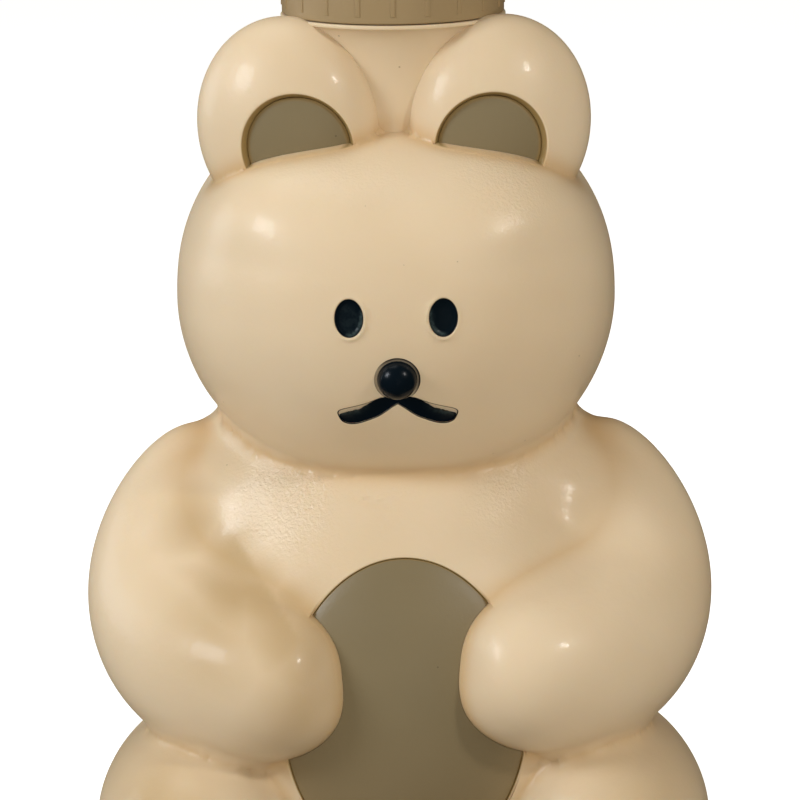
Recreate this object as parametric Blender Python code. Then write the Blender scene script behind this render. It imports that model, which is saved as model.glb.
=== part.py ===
"""A foaming soap dispenser whose bottle is a sitting bear, with its foam pump.

Sizes are in millimetres, and meshes are scaled to metres when their objects are made.
The origin is on the ground under the pump's axis, +Z is up, and the bear faces -Y.
"""

import math

import bmesh
import bpy
from mathutils import Matrix, Vector

MM = 0.001
FULL_TURN = 2 * math.pi

# Clearances
SEAT_GAP = 0.3
SLIDE_GAP = 0.5
SURE_CUT = 1.0

# The bottle's wall
WALL = 2.0
YOKE_WALL = 2.4
HEAD_WALL = 2.2
LEG_WALL = 2.3
FLOOR_WALL = 2.0

# Head: a rounded block, flatter on top than below
HEAD_HEIGHT = 99.8
HEAD_HALF_WIDTH = 35.6
HEAD_HALF_DEPTH = 37.0
HEAD_RISE = 29.8
HEAD_DROP = 31.3
HEAD_PLAN_POWER = 2.4
HEAD_TOP_POWER = 2.95
HEAD_LOW_POWER = 2.0

# Trunk: a belly, and a yoke across the shoulders
BELLY_CENTRE = (0.0, 0.0, 39.0)
BELLY_RADII = (40.0, 39.5, 43.0)
YOKE_CENTRE = (0.0, 1.0, 60.0)
YOKE_RADII = (44.5, 29.0, 26.5)

# Right-hand limbs, whose spines bend from the first point to the last
ARM_SPINE = ((31.0, -1.0, 70.5), (54.5, -7.0, 39.5), (19.0, -33.0, 42.5))
ARM_REACH = 11.0
ARM_RADII = (12.5, 15.6, 17.5)
LEG_SPINE = ((27.0, 12.0, 16.5), (38.0, -14.0, 16.0), (31.0, -36.0, 16.0))
LEG_REACH = 8.0
LEG_RADII = (16.0, 18.0, 16.5)
LIMB_POWER = 2.8

# Ears
EAR_X = 16.9
EAR_Y = -10.0
EAR_TOP_RISE = 0.3
EAR_RADII = (14.9, 10.2, 17.3)
EAR_LEAN = math.radians(4.5)
EAR_YAW = math.radians(14.0)

# Neck, bead and threaded finish
NECK_RADIUS = 17.3
NECK_WAIST_RADIUS = 14.7
NECK_WAIST_DROP = 8.0
NECK_FOOT_RADIUS = 13.0
NECK_FOOT_RISE = 12.2
BEAD_RADIUS = 18.4
BEAD_HEIGHT = 2.2
BEAD_CHAMFER = 0.6
SHOULDER_RISE = 46.2
FINISH_HEIGHT = 14.0
FINISH_RADIUS = 14.0
BORE_RADIUS = 12.4
THREAD_DEPTH = 1.0
THREAD_PITCH = 3.175
THREAD_ROOT_WIDTH = 1.3
THREAD_CREST_WIDTH = 0.7
THREAD_TOP_DROP = 2.2
NECK_THREAD_TURNS = 1.25
COLLAR_THREAD_TURNS = 1.0
THREAD_STEPS = 28

# Let-in panels and the face
PANEL_THICKNESS = 0.9
BELLY_PANEL_HEIGHT = 37.3
BELLY_PANEL_HALF_WIDTH = 18.8
BELLY_PANEL_HALF_HEIGHT = 25.3
EAR_PANEL_DROP = 2.8
EAR_PANEL_SHIFT = 3.1
EAR_PANEL_HALF_WIDTH = 8.3
EAR_PANEL_HALF_HEIGHT = 9.4
EAR_POCKET_DEPTH = 2.4
FACE_THICKNESS = 0.7
FACE_SINK = 0.1
EYE_X = 7.4
EYE_RISE = 2.4
EYE_HALF_WIDTH = 2.25
EYE_HALF_HEIGHT = 3.0
NOSE_DROP = 7.4
NOSE_RADIUS = 3.1
NOSE_BULGE = 2.9
MOUTH_PEAK_DROP = 3.1
MOUTH_SAG = 3.4
MOUTH_HALF_WIDTH = 9.5
MOUTH_STROKE = 2.4
MOUTH_END_SHARE = 0.04

# Screw collar
COLLAR_RADIUS = 18.05
COLLAR_TOP_WALL = 1.6
COLLAR_TOP_CHAMFER = 1.4
COLLAR_FOOT_CHAMFER = 0.4
HUB_RISE = 6.0
HUB_WALL = 2.4
HUB_ROOT_CHAMFER = 0.6
HUB_TOP_CHAMFER = 0.8

# Pump housing
GASKET_THICKNESS = 1.0
FLANGE_THICKNESS = 1.5
HOUSING_WALL = 1.0
AIR_BORE_RADIUS = 10.9
AIR_BORE_DEPTH = 22.0
LIQUID_BORE_RADIUS = 4.6
LIQUID_BORE_DEPTH = 28.0
SOCKET_DEPTH = 7.0
CAP_FLANGE = 1.2
CAP_PLUG = 1.8

# Inlet ball and its seat
BALL_RADIUS = 1.6
BALL_RISE = 0.25
SEAT_HOLE_RADIUS = 1.1
SEAT_DEPTH = 2.2

# Moving parts of the pump
STROKE = 12.0
SLEEVE_RADIUS = 9.0
SLEEVE_BORE_RADIUS = 6.5
STEM_RADIUS = 3.1
STEM_BORE_RADIUS = 1.9
STEM_RISE = 9.0
STEM_SEAT_RISE = 2.4
STEM_TONGUE_DROP = 2.0
PISTON_LIP = 6.0
PISTON_LIP_WALL = 1.0
PISTON_WEB = 1.2
PISTON_HUB_WALL = 0.9
AIR_HOLES = 6
AIR_HOLE_RADIUS = 0.7
VALVE_THICKNESS = 0.6
LIQUID_PISTON_HEIGHT = 6.0
LIQUID_MOUTH_LIP = 0.4
POPPET_HEAD_RADIUS = 2.2
POPPET_HEAD_HEIGHT = 1.6
POPPET_HEAD_TAPER = 0.8
POPPET_HEAD_CHAMFER = 0.4
POPPET_ROD_RADIUS = 1.1
POPPET_LENGTH = 20.0

# Return spring
SPRING_WIRE_RADIUS = 0.35
SPRING_RADIUS = 3.55
SPRING_CURLS = 8
SPRING_CURL_POINTS = 10

# Dip tube
TUBE_RADIUS = 2.5
TUBE_BORE_RADIUS = 1.7
TUBE_FLOOR_GAP = 2.5

# Pump head with its foam tube and screens
HEAD_UNDER_GAP = 0.6
BUTTON_RADIUS = 13.6
BUTTON_HEIGHT = 12.0
BUTTON_LIP = 2.0
BUTTON_CHAMFER = 0.6
BUTTON_ROUNDING = 0.8
FOAM_TUBE_LENGTH = 11.0
FOAM_TUBE_WALL = 1.0
SCREEN_THICKNESS = 0.4
SCREEN_HOLE = 0.9
SCREEN_PITCH = 2.0
SPOUT_REACH = 31.0
SPOUT_DROP = 4.0
SPOUT_ROOT_RADIUS = 5.2
SPOUT_TIP_RADIUS = 3.6
SPOUT_BORE_RADIUS = 2.0
SPOUT_START = 0.2
SPOUT_BEND_SHARE = 0.75
SPOUT_ARCH = 0.5
RISER_SPARE = 0.5

# Facets round each piece
FACET_COUNT = 32
INNER_FACET_COUNT = 24

# Places that follow from the sizes above
SHOULDER_HEIGHT = HEAD_HEIGHT + SHOULDER_RISE
NECK_FOOT = HEAD_HEIGHT + NECK_FOOT_RISE
EAR_CENTRE = (EAR_X, EAR_Y, SHOULDER_HEIGHT + EAR_TOP_RISE - EAR_RADII[2])
EYE_HEIGHT = HEAD_HEIGHT + EYE_RISE
NOSE_HEIGHT = HEAD_HEIGHT - NOSE_DROP
MOUTH_PEAK_HEIGHT = NOSE_HEIGHT - MOUTH_PEAK_DROP
MOUTH_HEIGHT = SHOULDER_HEIGHT + FINISH_HEIGHT
GASKET_FOOT = MOUTH_HEIGHT + SEAT_GAP
FLANGE_FOOT = GASKET_FOOT + GASKET_THICKNESS + SEAT_GAP
FLANGE_TOP = FLANGE_FOOT + FLANGE_THICKNESS
CAP_TOP = FLANGE_TOP + SEAT_GAP + CAP_FLANGE
COLLAR_TOP = CAP_TOP + SEAT_GAP + COLLAR_TOP_WALL
HUB_TOP = COLLAR_TOP + HUB_RISE
AIR_FLOOR = FLANGE_TOP - AIR_BORE_DEPTH
LIQUID_FLOOR = AIR_FLOOR - LIQUID_BORE_DEPTH
CAP_FOOT = FLANGE_TOP - CAP_PLUG
PISTON_TOP = CAP_FOOT - SEAT_GAP
PISTON_FOOT = PISTON_TOP - PISTON_LIP
WEB_TOP = PISTON_TOP - PISTON_LIP / 2
WEB_FOOT = WEB_TOP - PISTON_WEB
SLEEVE_FOOT = WEB_TOP + SEAT_GAP
BUTTON_FOOT = HUB_TOP + STROKE + HEAD_UNDER_GAP
STEM_TOP = SLEEVE_FOOT + STEM_RISE
LIQUID_PISTON_TOP = AIR_FLOOR - SURE_CUT
LIQUID_PISTON_FOOT = LIQUID_PISTON_TOP - LIQUID_PISTON_HEIGHT
TUBE_TOP = LIQUID_FLOOR - SEAT_DEPTH - SEAT_GAP
FOAM_TUBE_FOOT = STEM_TOP + SCREEN_THICKNESS + 2 * SEAT_GAP
FOAM_TUBE_TOP = FOAM_TUBE_FOOT + FOAM_TUBE_LENGTH
SLEEVE_BORE_TOP = FOAM_TUBE_TOP + SCREEN_THICKNESS + 2 * SEAT_GAP

CREAM = (0.72, 0.56, 0.37)
KHAKI = (0.235, 0.18, 0.095)
NAVY = (0.006, 0.009, 0.016)
WHITE = (0.80, 0.80, 0.78)
CLEAR_GREY = (0.62, 0.64, 0.62)
SILICONE = (0.55, 0.56, 0.56)
STEEL = (0.56, 0.57, 0.58)


def clear_scene():
    for thing in list(bpy.data.objects):
        bpy.data.objects.remove(thing, do_unlink=True)


def plastic(name, colour, roughness=0.4, metallic=0.0):
    """The named material, made the first time that it is asked for."""
    found = bpy.data.materials.get(name)
    if found:
        return found
    made = bpy.data.materials.new(name)
    made.use_nodes = True
    shader = made.node_tree.nodes["Principled BSDF"]
    shader.inputs["Base Color"].default_value = (*colour, 1.0)
    shader.inputs["Roughness"].default_value = roughness
    shader.inputs["Metallic"].default_value = metallic
    made.diffuse_color = (*colour, 1.0)
    return made


def object_from(name, bm, place=None):
    """An object in metres from a mesh in millimetres, its faces pointing out."""
    if place:
        bmesh.ops.transform(bm, matrix=place, verts=bm.verts)
    bmesh.ops.remove_doubles(bm, verts=bm.verts, dist=1e-5)
    bmesh.ops.recalc_face_normals(bm, faces=bm.faces)
    bmesh.ops.scale(bm, vec=(MM, MM, MM), verts=bm.verts)
    mesh = bpy.data.meshes.new(name)
    bm.to_mesh(mesh)
    bm.free()
    made = bpy.data.objects.new(name, mesh)
    bpy.context.collection.objects.link(made)
    return made


def combine(target, tool, operation):
    """Joins the tool to the target, cuts it out, or keeps what they share, and drops the tool."""
    step = target.modifiers.new("combine", "BOOLEAN")
    step.operation = operation
    step.solver = "EXACT"
    step.object = tool
    graph = bpy.context.evaluated_depsgraph_get()
    result = bpy.data.meshes.new_from_object(target.evaluated_get(graph))
    target.modifiers.clear()
    before = target.data
    target.data = result
    result.name = target.name
    bpy.data.meshes.remove(before)
    bpy.data.objects.remove(tool, do_unlink=True)
    return target


def finish(piece, material, smooth_angle=35.0):
    """Gives a piece its material and smooth shading between sharp edges."""
    piece.data.materials.clear()
    piece.data.materials.append(material)
    piece.data.shade_smooth()
    piece.data.set_sharp_from_angle(angle=math.radians(smooth_angle))
    return piece


def ellipsoid(name, centre, radii, segments=FACET_COUNT, rings=16, turn=None):
    """A ball with a radius along each axis, turned and then moved to its centre."""
    bm = bmesh.new()
    bmesh.ops.create_uvsphere(bm, u_segments=segments, v_segments=rings, radius=1.0)
    bmesh.ops.scale(bm, vec=radii, verts=bm.verts)
    return object_from(name, bm, Matrix.Translation(centre) @ (turn or Matrix()))


def squared(a, b, power):
    """How far a point (a, b) on the unit circle moves out to the squarer curve of this power."""
    return (abs(a) ** power + abs(b) ** power) ** (-1 / power)


def bend(points, t):
    """The point at t on the curve from the first point to the third, which bends towards the second."""
    first, middle, last = (Vector(p) for p in points)
    return first * (1 - t) ** 2 + middle * 2 * t * (1 - t) + last * t**2


def limb(name, spine, radii, reach, side=1, shrink=0.0, segments=18, rings=18):
    """A stuffed limb along a bent spine, past whose last point it reaches. Shrink draws its skin in."""
    bm = bmesh.new()
    bmesh.ops.create_uvsphere(bm, u_segments=segments, v_segments=rings, radius=1.0)
    first, middle, last = (Vector(p) for p in spine)
    last = last + (last - middle).normalized() * (reach - shrink)
    first = first + (first - middle).normalized() * (reach - shrink)
    for vert in bm.verts:
        x, y, z = vert.co
        share = squared(math.hypot(x, y), z, LIMB_POWER)
        along = (z * share + 1) / 2
        ahead = 2 * (middle - first) * (1 - along) + 2 * (last - middle) * along
        out = ahead.cross(Vector((0, 0, 1))).normalized()
        up = out.cross(ahead).normalized()
        fat = radii[0] * (1 - along) ** 2 + 2 * radii[1] * along * (1 - along) + radii[2] * along**2
        place = bend((first, middle, last), along) + (out * x + up * y) * share * (fat - shrink)
        vert.co = (side * place.x, place.y, place.z)
    return object_from(name, bm)


def turned(name, profile, segments=FACET_COUNT):
    """A turned piece. The profile is its section's outline, as (radius, height) points.

    Its first facet starts half a facet round, so that its corners miss those of the balls that it cuts.
    """
    bm = bmesh.new()
    corners = [bm.verts.new((radius, 0.0, height)) for radius, height in profile]
    lines = []
    for here, after in zip(corners, corners[1:] + corners[:1]):
        if here.co.x > 0 or after.co.x > 0:
            lines.append(bm.edges.new((here, after)))
    half_facet = Matrix.Rotation(math.pi / segments, 3, "Z")
    bmesh.ops.rotate(bm, verts=corners, cent=(0, 0, 0), matrix=half_facet)
    bmesh.ops.spin(
        bm, geom=corners + lines, cent=(0, 0, 0), axis=(0, 0, 1),
        angle=FULL_TURN, steps=segments, use_merge=True,
    )
    return object_from(name, bm)


def ridge(name, root, crest, foot, turns):
    """A screw ridge that climbs one pitch a turn, from its root radius to its crest radius."""
    bm = bmesh.new()
    half_root = THREAD_ROOT_WIDTH / 2
    half_crest = THREAD_CREST_WIDTH / 2
    section = ((root, -half_root), (crest, -half_crest), (crest, half_crest), (root, half_root))
    corners = [bm.verts.new((radius, 0.0, foot + height)) for radius, height in section]
    lines = [bm.edges.new(pair) for pair in zip(corners, corners[1:] + corners[:1])]
    steps = round(THREAD_STEPS * turns)
    bmesh.ops.spin(
        bm, geom=corners + lines, cent=(0, 0, 0), axis=(0, 0, 1), angle=FULL_TURN * turns,
        dvec=(0, 0, THREAD_PITCH * turns / steps), steps=steps,
    )
    bmesh.ops.holes_fill(bm, edges=bm.edges, sides=4)
    return object_from(name, bm)


def block(name, low, high):
    bm = bmesh.new()
    bmesh.ops.create_cube(bm, size=1.0)
    for vert in bm.verts:
        vert.co = [a + (b - a) * (c + 0.5) for a, b, c in zip(low, high, vert.co)]
    return object_from(name, bm)


def slab(name, middle, half_width, half_height, front, back, segments=28, rings=4, place=None):
    """An oval plate square to Y. Front and back give its two faces' Y at each (x, z)."""
    bm = bmesh.new()
    for face_of in (front, back):
        rows = []
        for ring in range(1, rings + 1):
            size = ring / rings
            angles = [FULL_TURN * n / segments for n in range(segments)]
            spots = [
                (middle[0] + half_width * size * math.cos(a), middle[1] + half_height * size * math.sin(a))
                for a in angles
            ]
            rows.append([bm.verts.new((x, face_of(x, z), z)) for x, z in spots])
        hub = bm.verts.new((middle[0], face_of(*middle), middle[1]))
        for n in range(segments):
            bm.faces.new((hub, rows[0][n], rows[0][(n + 1) % segments]))
        for inner, outer in zip(rows, rows[1:]):
            for n in range(segments):
                m = (n + 1) % segments
                bm.faces.new((inner[n], outer[n], outer[m], inner[m]))
    rim = [edge for edge in bm.edges if edge.is_boundary]
    bmesh.ops.bridge_loops(bm, edges=rim)
    return object_from(name, bm, place)


def moustache(name, grow, front, back, stations=21):
    """The mouth's stroke: it peaks at the middle and falls to both ends, which are round."""
    bm = bmesh.new()
    half = MOUTH_HALF_WIDTH + grow
    faces = []
    for face_of in (front, back):
        rows = []
        for n in range(stations):
            share = -math.cos(math.pi * n / (stations - 1))
            x = half * share
            middle = MOUTH_PEAK_HEIGHT - MOUTH_SAG * math.sin(min(1.0, abs(share)) * math.pi / 2)
            inset = max(0.0, (half - abs(x)) / (MOUTH_STROKE / 2 + grow))
            round_off = 1 - max(0.0, 1 - inset) ** 2
            tall = (MOUTH_STROKE / 2 + grow) * math.sqrt(max(MOUTH_END_SHARE, round_off))
            heights = (middle - tall, middle, middle + tall)
            rows.append([bm.verts.new((x, face_of(x, z), z)) for z in heights])
        faces.append(rows)
        for left, right in zip(rows, rows[1:]):
            bm.faces.new((left[0], right[0], right[1], left[1]))
            bm.faces.new((left[1], right[1], right[2], left[2]))
    rim = [edge for edge in bm.edges if edge.is_boundary]
    bmesh.ops.bridge_loops(bm, edges=rim)
    return object_from(name, bm)


def head_front(inset):
    """The Y of the head's front at (x, z), drawn in by the inset."""
    def place(x, z):
        rise = z - HEAD_HEIGHT
        reach, power = (HEAD_RISE, HEAD_TOP_POWER) if rise > 0 else (HEAD_DROP, HEAD_LOW_POWER)
        ring = max(0.0, 1 - (abs(rise) / reach) ** power) ** (1 / power)
        side = (abs(x) / HEAD_HALF_WIDTH) ** HEAD_PLAN_POWER
        depth = max(0.0, ring**HEAD_PLAN_POWER - side) ** (1 / HEAD_PLAN_POWER)
        return -HEAD_HALF_DEPTH * depth + inset
    return place


def belly_front(inset):
    """The Y of the belly's front at (x, z), drawn in by the inset."""
    def place(x, z):
        flat = (x / BELLY_RADII[0]) ** 2 + ((z - BELLY_CENTRE[2]) / BELLY_RADII[2]) ** 2
        return BELLY_CENTRE[1] - BELLY_RADII[1] * math.sqrt(max(0.0, 1 - flat)) + inset
    return place


def plane(y):
    return lambda x, z: y


def head_ball(name, shrink=0.0, segments=36, rings=20):
    """The head: its powers above 2 square its upper half more than its lower one."""
    bm = bmesh.new()
    bmesh.ops.create_uvsphere(bm, u_segments=segments, v_segments=rings, radius=1.0)
    for vert in bm.verts:
        x, y, z = vert.co
        reach, power = (HEAD_RISE, HEAD_TOP_POWER) if z > 0 else (HEAD_DROP, HEAD_LOW_POWER)
        flat = math.hypot(x, y)
        rise = squared(flat, z, power)
        spread = rise * flat * squared(x, y, HEAD_PLAN_POWER) if flat > 1e-6 else 0.0
        vert.co = (
            x * spread * (HEAD_HALF_WIDTH - shrink),
            y * spread * (HEAD_HALF_DEPTH - shrink),
            HEAD_HEIGHT + z * rise * (reach - shrink),
        )
    return object_from(name, bm)


def trunk_ball(name, centre, radii, shrink=0.0, segments=32, rings=18):
    return ellipsoid(name, centre, [r - shrink for r in radii], segments, rings)


def ear_place(side):
    """Turns a piece made about the middle of a forward ear, and moves it to the ear's place."""
    centre = (side * EAR_CENTRE[0], EAR_CENTRE[1], EAR_CENTRE[2])
    yaw = Matrix.Rotation(side * EAR_YAW, 4, "Z")
    lean = Matrix.Rotation(side * EAR_LEAN, 4, "Y")
    return Matrix.Translation(centre) @ yaw @ lean


def ear(name, side):
    return ellipsoid(name, (0.0, 0.0, 0.0), EAR_RADII, 24, 14, ear_place(side))


def ear_panel_back():
    """How far the floor of the ear's pocket lies from the ear's middle, along its own Y."""
    return EAR_POCKET_DEPTH - EAR_RADII[1]


def ear_plate(name, side, grow, front, back):
    middle = (-side * EAR_PANEL_SHIFT, -EAR_PANEL_DROP)
    return slab(
        name, middle, EAR_PANEL_HALF_WIDTH + grow, EAR_PANEL_HALF_HEIGHT + grow,
        plane(front), plane(back), segments=24, rings=1, place=ear_place(side),
    )


def belly_plate(name, grow, front, back):
    middle = (0.0, BELLY_PANEL_HEIGHT)
    return slab(
        name, middle, BELLY_PANEL_HALF_WIDTH + grow, BELLY_PANEL_HALF_HEIGHT + grow,
        front, back, segments=32, rings=4,
    )


def eye_plate(name, side, grow, front, back):
    return slab(
        name, (side * EYE_X, EYE_HEIGHT), EYE_HALF_WIDTH + grow, EYE_HALF_HEIGHT + grow,
        front, back, segments=20, rings=2,
    )


def nose_seat():
    """The Y of the head's front behind the middle of the nose."""
    return head_front(0.0)(0.0, NOSE_HEIGHT)


def nose_plug(name, grow, front, back):
    return slab(
        name, (0.0, NOSE_HEIGHT), NOSE_RADIUS + grow, NOSE_RADIUS + grow,
        plane(front), plane(back), segments=24, rings=1,
    )


def neck_solid():
    """The neck with its bead and the tube that the thread stands on."""
    bead_foot = SHOULDER_HEIGHT - BEAD_HEIGHT
    return turned("neck", (
        (0.0, MOUTH_HEIGHT), (FINISH_RADIUS, MOUTH_HEIGHT), (FINISH_RADIUS, SHOULDER_HEIGHT),
        (BEAD_RADIUS - BEAD_CHAMFER, SHOULDER_HEIGHT), (BEAD_RADIUS, SHOULDER_HEIGHT - BEAD_CHAMFER),
        (BEAD_RADIUS, bead_foot + BEAD_CHAMFER), (NECK_RADIUS, bead_foot),
        (NECK_WAIST_RADIUS, SHOULDER_HEIGHT - NECK_WAIST_DROP), (NECK_FOOT_RADIUS, NECK_FOOT),
        (0.0, NECK_FOOT),
    ))


def neck_hollow():
    """The bore through the finish, which narrows with the neck below its waist."""
    waist = SHOULDER_HEIGHT - NECK_WAIST_DROP
    return turned("neck_hollow", (
        (0.0, MOUTH_HEIGHT + SURE_CUT), (BORE_RADIUS, MOUTH_HEIGHT + SURE_CUT), (BORE_RADIUS, waist),
        (NECK_FOOT_RADIUS - WALL, NECK_FOOT), (0.0, NECK_FOOT),
    ), INNER_FACET_COUNT)


def bear_hollow():
    """The space inside the bear, one wall inside its skin."""
    deep = WALL + PANEL_THICKNESS
    hollow = trunk_ball("hollow", BELLY_CENTRE, BELLY_RADII, deep, 22, 12)
    combine(hollow, trunk_ball("yoke_hollow", YOKE_CENTRE, YOKE_RADII, YOKE_WALL, 18, 10), "UNION")
    combine(hollow, head_ball("head_hollow", HEAD_WALL, 26, 14), "UNION")
    for side in (-1, 1):
        combine(hollow, limb("arm_hollow", ARM_SPINE, ARM_RADII, ARM_REACH, side, WALL, 12, 8), "UNION")
        combine(hollow, limb("leg_hollow", LEG_SPINE, LEG_RADII, LEG_REACH, side, LEG_WALL, 12, 8), "UNION")
    combine(hollow, neck_hollow(), "UNION")
    far = 2 * BELLY_RADII[2]
    combine(hollow, block("floor_wall", (-far, -far, -far), (far, far, FLOOR_WALL)), "DIFFERENCE")
    return hollow


def make_bottle():
    bottle = trunk_ball("bottle", BELLY_CENTRE, BELLY_RADII)
    out = -2 * BELLY_RADII[1]
    pocket = belly_plate("belly_pocket", SEAT_GAP, plane(out), belly_front(PANEL_THICKNESS + SEAT_GAP))
    combine(bottle, pocket, "DIFFERENCE")
    combine(bottle, trunk_ball("yoke", YOKE_CENTRE, YOKE_RADII, 0.0, 28, 14), "UNION")
    for side in (-1, 1):
        combine(bottle, limb("arm", ARM_SPINE, ARM_RADII, ARM_REACH, side), "UNION")
        combine(bottle, limb("leg", LEG_SPINE, LEG_RADII, LEG_REACH, side), "UNION")
    combine(bottle, neck_solid(), "UNION")
    for side in (-1, 1):
        pinna = ear("ear", side)
        floor = ear_panel_back() + SEAT_GAP
        combine(pinna, ear_plate("ear_pocket", side, SEAT_GAP, out, floor), "DIFFERENCE")
        combine(bottle, pinna, "UNION")
    head = head_ball("head")
    for side in (-1, 1):
        eye = eye_plate("eye_pocket", side, SEAT_GAP, plane(out), head_front(FACE_THICKNESS + SEAT_GAP))
        combine(head, eye, "DIFFERENCE")
    lip = moustache("mouth_pocket", SEAT_GAP, plane(out), head_front(FACE_THICKNESS + SEAT_GAP))
    combine(head, lip, "DIFFERENCE")
    socket = nose_plug("nose_socket", SEAT_GAP, out, nose_seat() + FACE_THICKNESS + SEAT_GAP)
    combine(head, socket, "DIFFERENCE")
    combine(bottle, head, "UNION")
    top_of_ridge = MOUTH_HEIGHT - THREAD_TOP_DROP
    foot_of_ridge = top_of_ridge - THREAD_PITCH * NECK_THREAD_TURNS
    screw = ridge(
        "neck_thread", FINISH_RADIUS - SURE_CUT, FINISH_RADIUS + THREAD_DEPTH,
        foot_of_ridge, NECK_THREAD_TURNS,
    )
    combine(bottle, screw, "UNION")
    combine(bottle, bear_hollow(), "DIFFERENCE")
    far = 4 * BELLY_RADII[2]
    combine(bottle, block("ground", (-far, -far, -far), (far, far, 0.0)), "DIFFERENCE")
    return finish(bottle, plastic("cream_plastic", CREAM, 0.38))


def make_belly_panel():
    panel = belly_plate("belly_panel", 0.0, belly_front(0.0), belly_front(PANEL_THICKNESS))
    for side in (-1, 1):
        combine(panel, limb("arm_room", ARM_SPINE, ARM_RADII, ARM_REACH, side, -SEAT_GAP), "DIFFERENCE")
        combine(panel, limb("leg_room", LEG_SPINE, LEG_RADII, LEG_REACH, side, -SEAT_GAP), "DIFFERENCE")
    return finish(panel, plastic("khaki_plastic", KHAKI, 0.42))


def make_ear_panels():
    for side, word in ((-1, "left"), (1, "right")):
        back = ear_panel_back()
        panel = ear_plate(f"ear_panel_{word}", side, 0.0, back - PANEL_THICKNESS, back)
        combine(panel, head_ball("head_room", -SEAT_GAP), "DIFFERENCE")
        finish(panel, plastic("khaki_plastic", KHAKI, 0.42))


def make_face():
    navy = plastic("navy_gloss", NAVY, 0.2)
    for side, word in ((-1, "left"), (1, "right")):
        finish(eye_plate(f"eye_{word}", side, 0.0, head_front(FACE_SINK), head_front(FACE_THICKNESS)), navy)
    seat = nose_seat()
    nose = ellipsoid("nose", (0.0, seat, NOSE_HEIGHT), (NOSE_RADIUS, NOSE_BULGE, NOSE_RADIUS), 20, 12)
    far = 3 * NOSE_RADIUS
    low = (-far, seat + FACE_THICKNESS, NOSE_HEIGHT - far)
    combine(nose, block("nose_back", low, (far, seat + far, NOSE_HEIGHT + far)), "DIFFERENCE")
    finish(nose, navy)
    mouth = moustache("mouth", 0.0, head_front(FACE_SINK), head_front(FACE_THICKNESS))
    room = nose_plug("nose_room", SEAT_GAP, seat - 2 * NOSE_BULGE, seat + far)
    finish(combine(mouth, room, "DIFFERENCE"), navy)


def make_collar():
    inside = FINISH_RADIUS + THREAD_DEPTH + SEAT_GAP
    foot = SHOULDER_HEIGHT + SLIDE_GAP
    hub_inside = SLEEVE_RADIUS + SLIDE_GAP
    hub_outside = hub_inside + HUB_WALL
    collar = turned("screw_collar", (
        (COLLAR_RADIUS - COLLAR_FOOT_CHAMFER, foot), (COLLAR_RADIUS, foot + COLLAR_FOOT_CHAMFER),
        (COLLAR_RADIUS, COLLAR_TOP - COLLAR_TOP_CHAMFER), (COLLAR_RADIUS - COLLAR_TOP_CHAMFER, COLLAR_TOP),
        (hub_outside + HUB_ROOT_CHAMFER, COLLAR_TOP), (hub_outside, COLLAR_TOP + HUB_ROOT_CHAMFER),
        (hub_outside, HUB_TOP - HUB_TOP_CHAMFER), (hub_outside - HUB_TOP_CHAMFER, HUB_TOP),
        (hub_inside, HUB_TOP), (hub_inside, COLLAR_TOP - COLLAR_TOP_WALL),
        (inside, COLLAR_TOP - COLLAR_TOP_WALL), (inside, foot),
    ), 40)
    top_of_ridge = MOUTH_HEIGHT - THREAD_TOP_DROP - THREAD_PITCH / 2
    foot_of_ridge = top_of_ridge - THREAD_PITCH * NECK_THREAD_TURNS
    screw = ridge(
        "collar_thread", inside + SURE_CUT, inside - THREAD_DEPTH, foot_of_ridge, COLLAR_THREAD_TURNS,
    )
    combine(collar, screw, "UNION")
    return finish(collar, plastic("khaki_plastic", KHAKI, 0.42))


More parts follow.
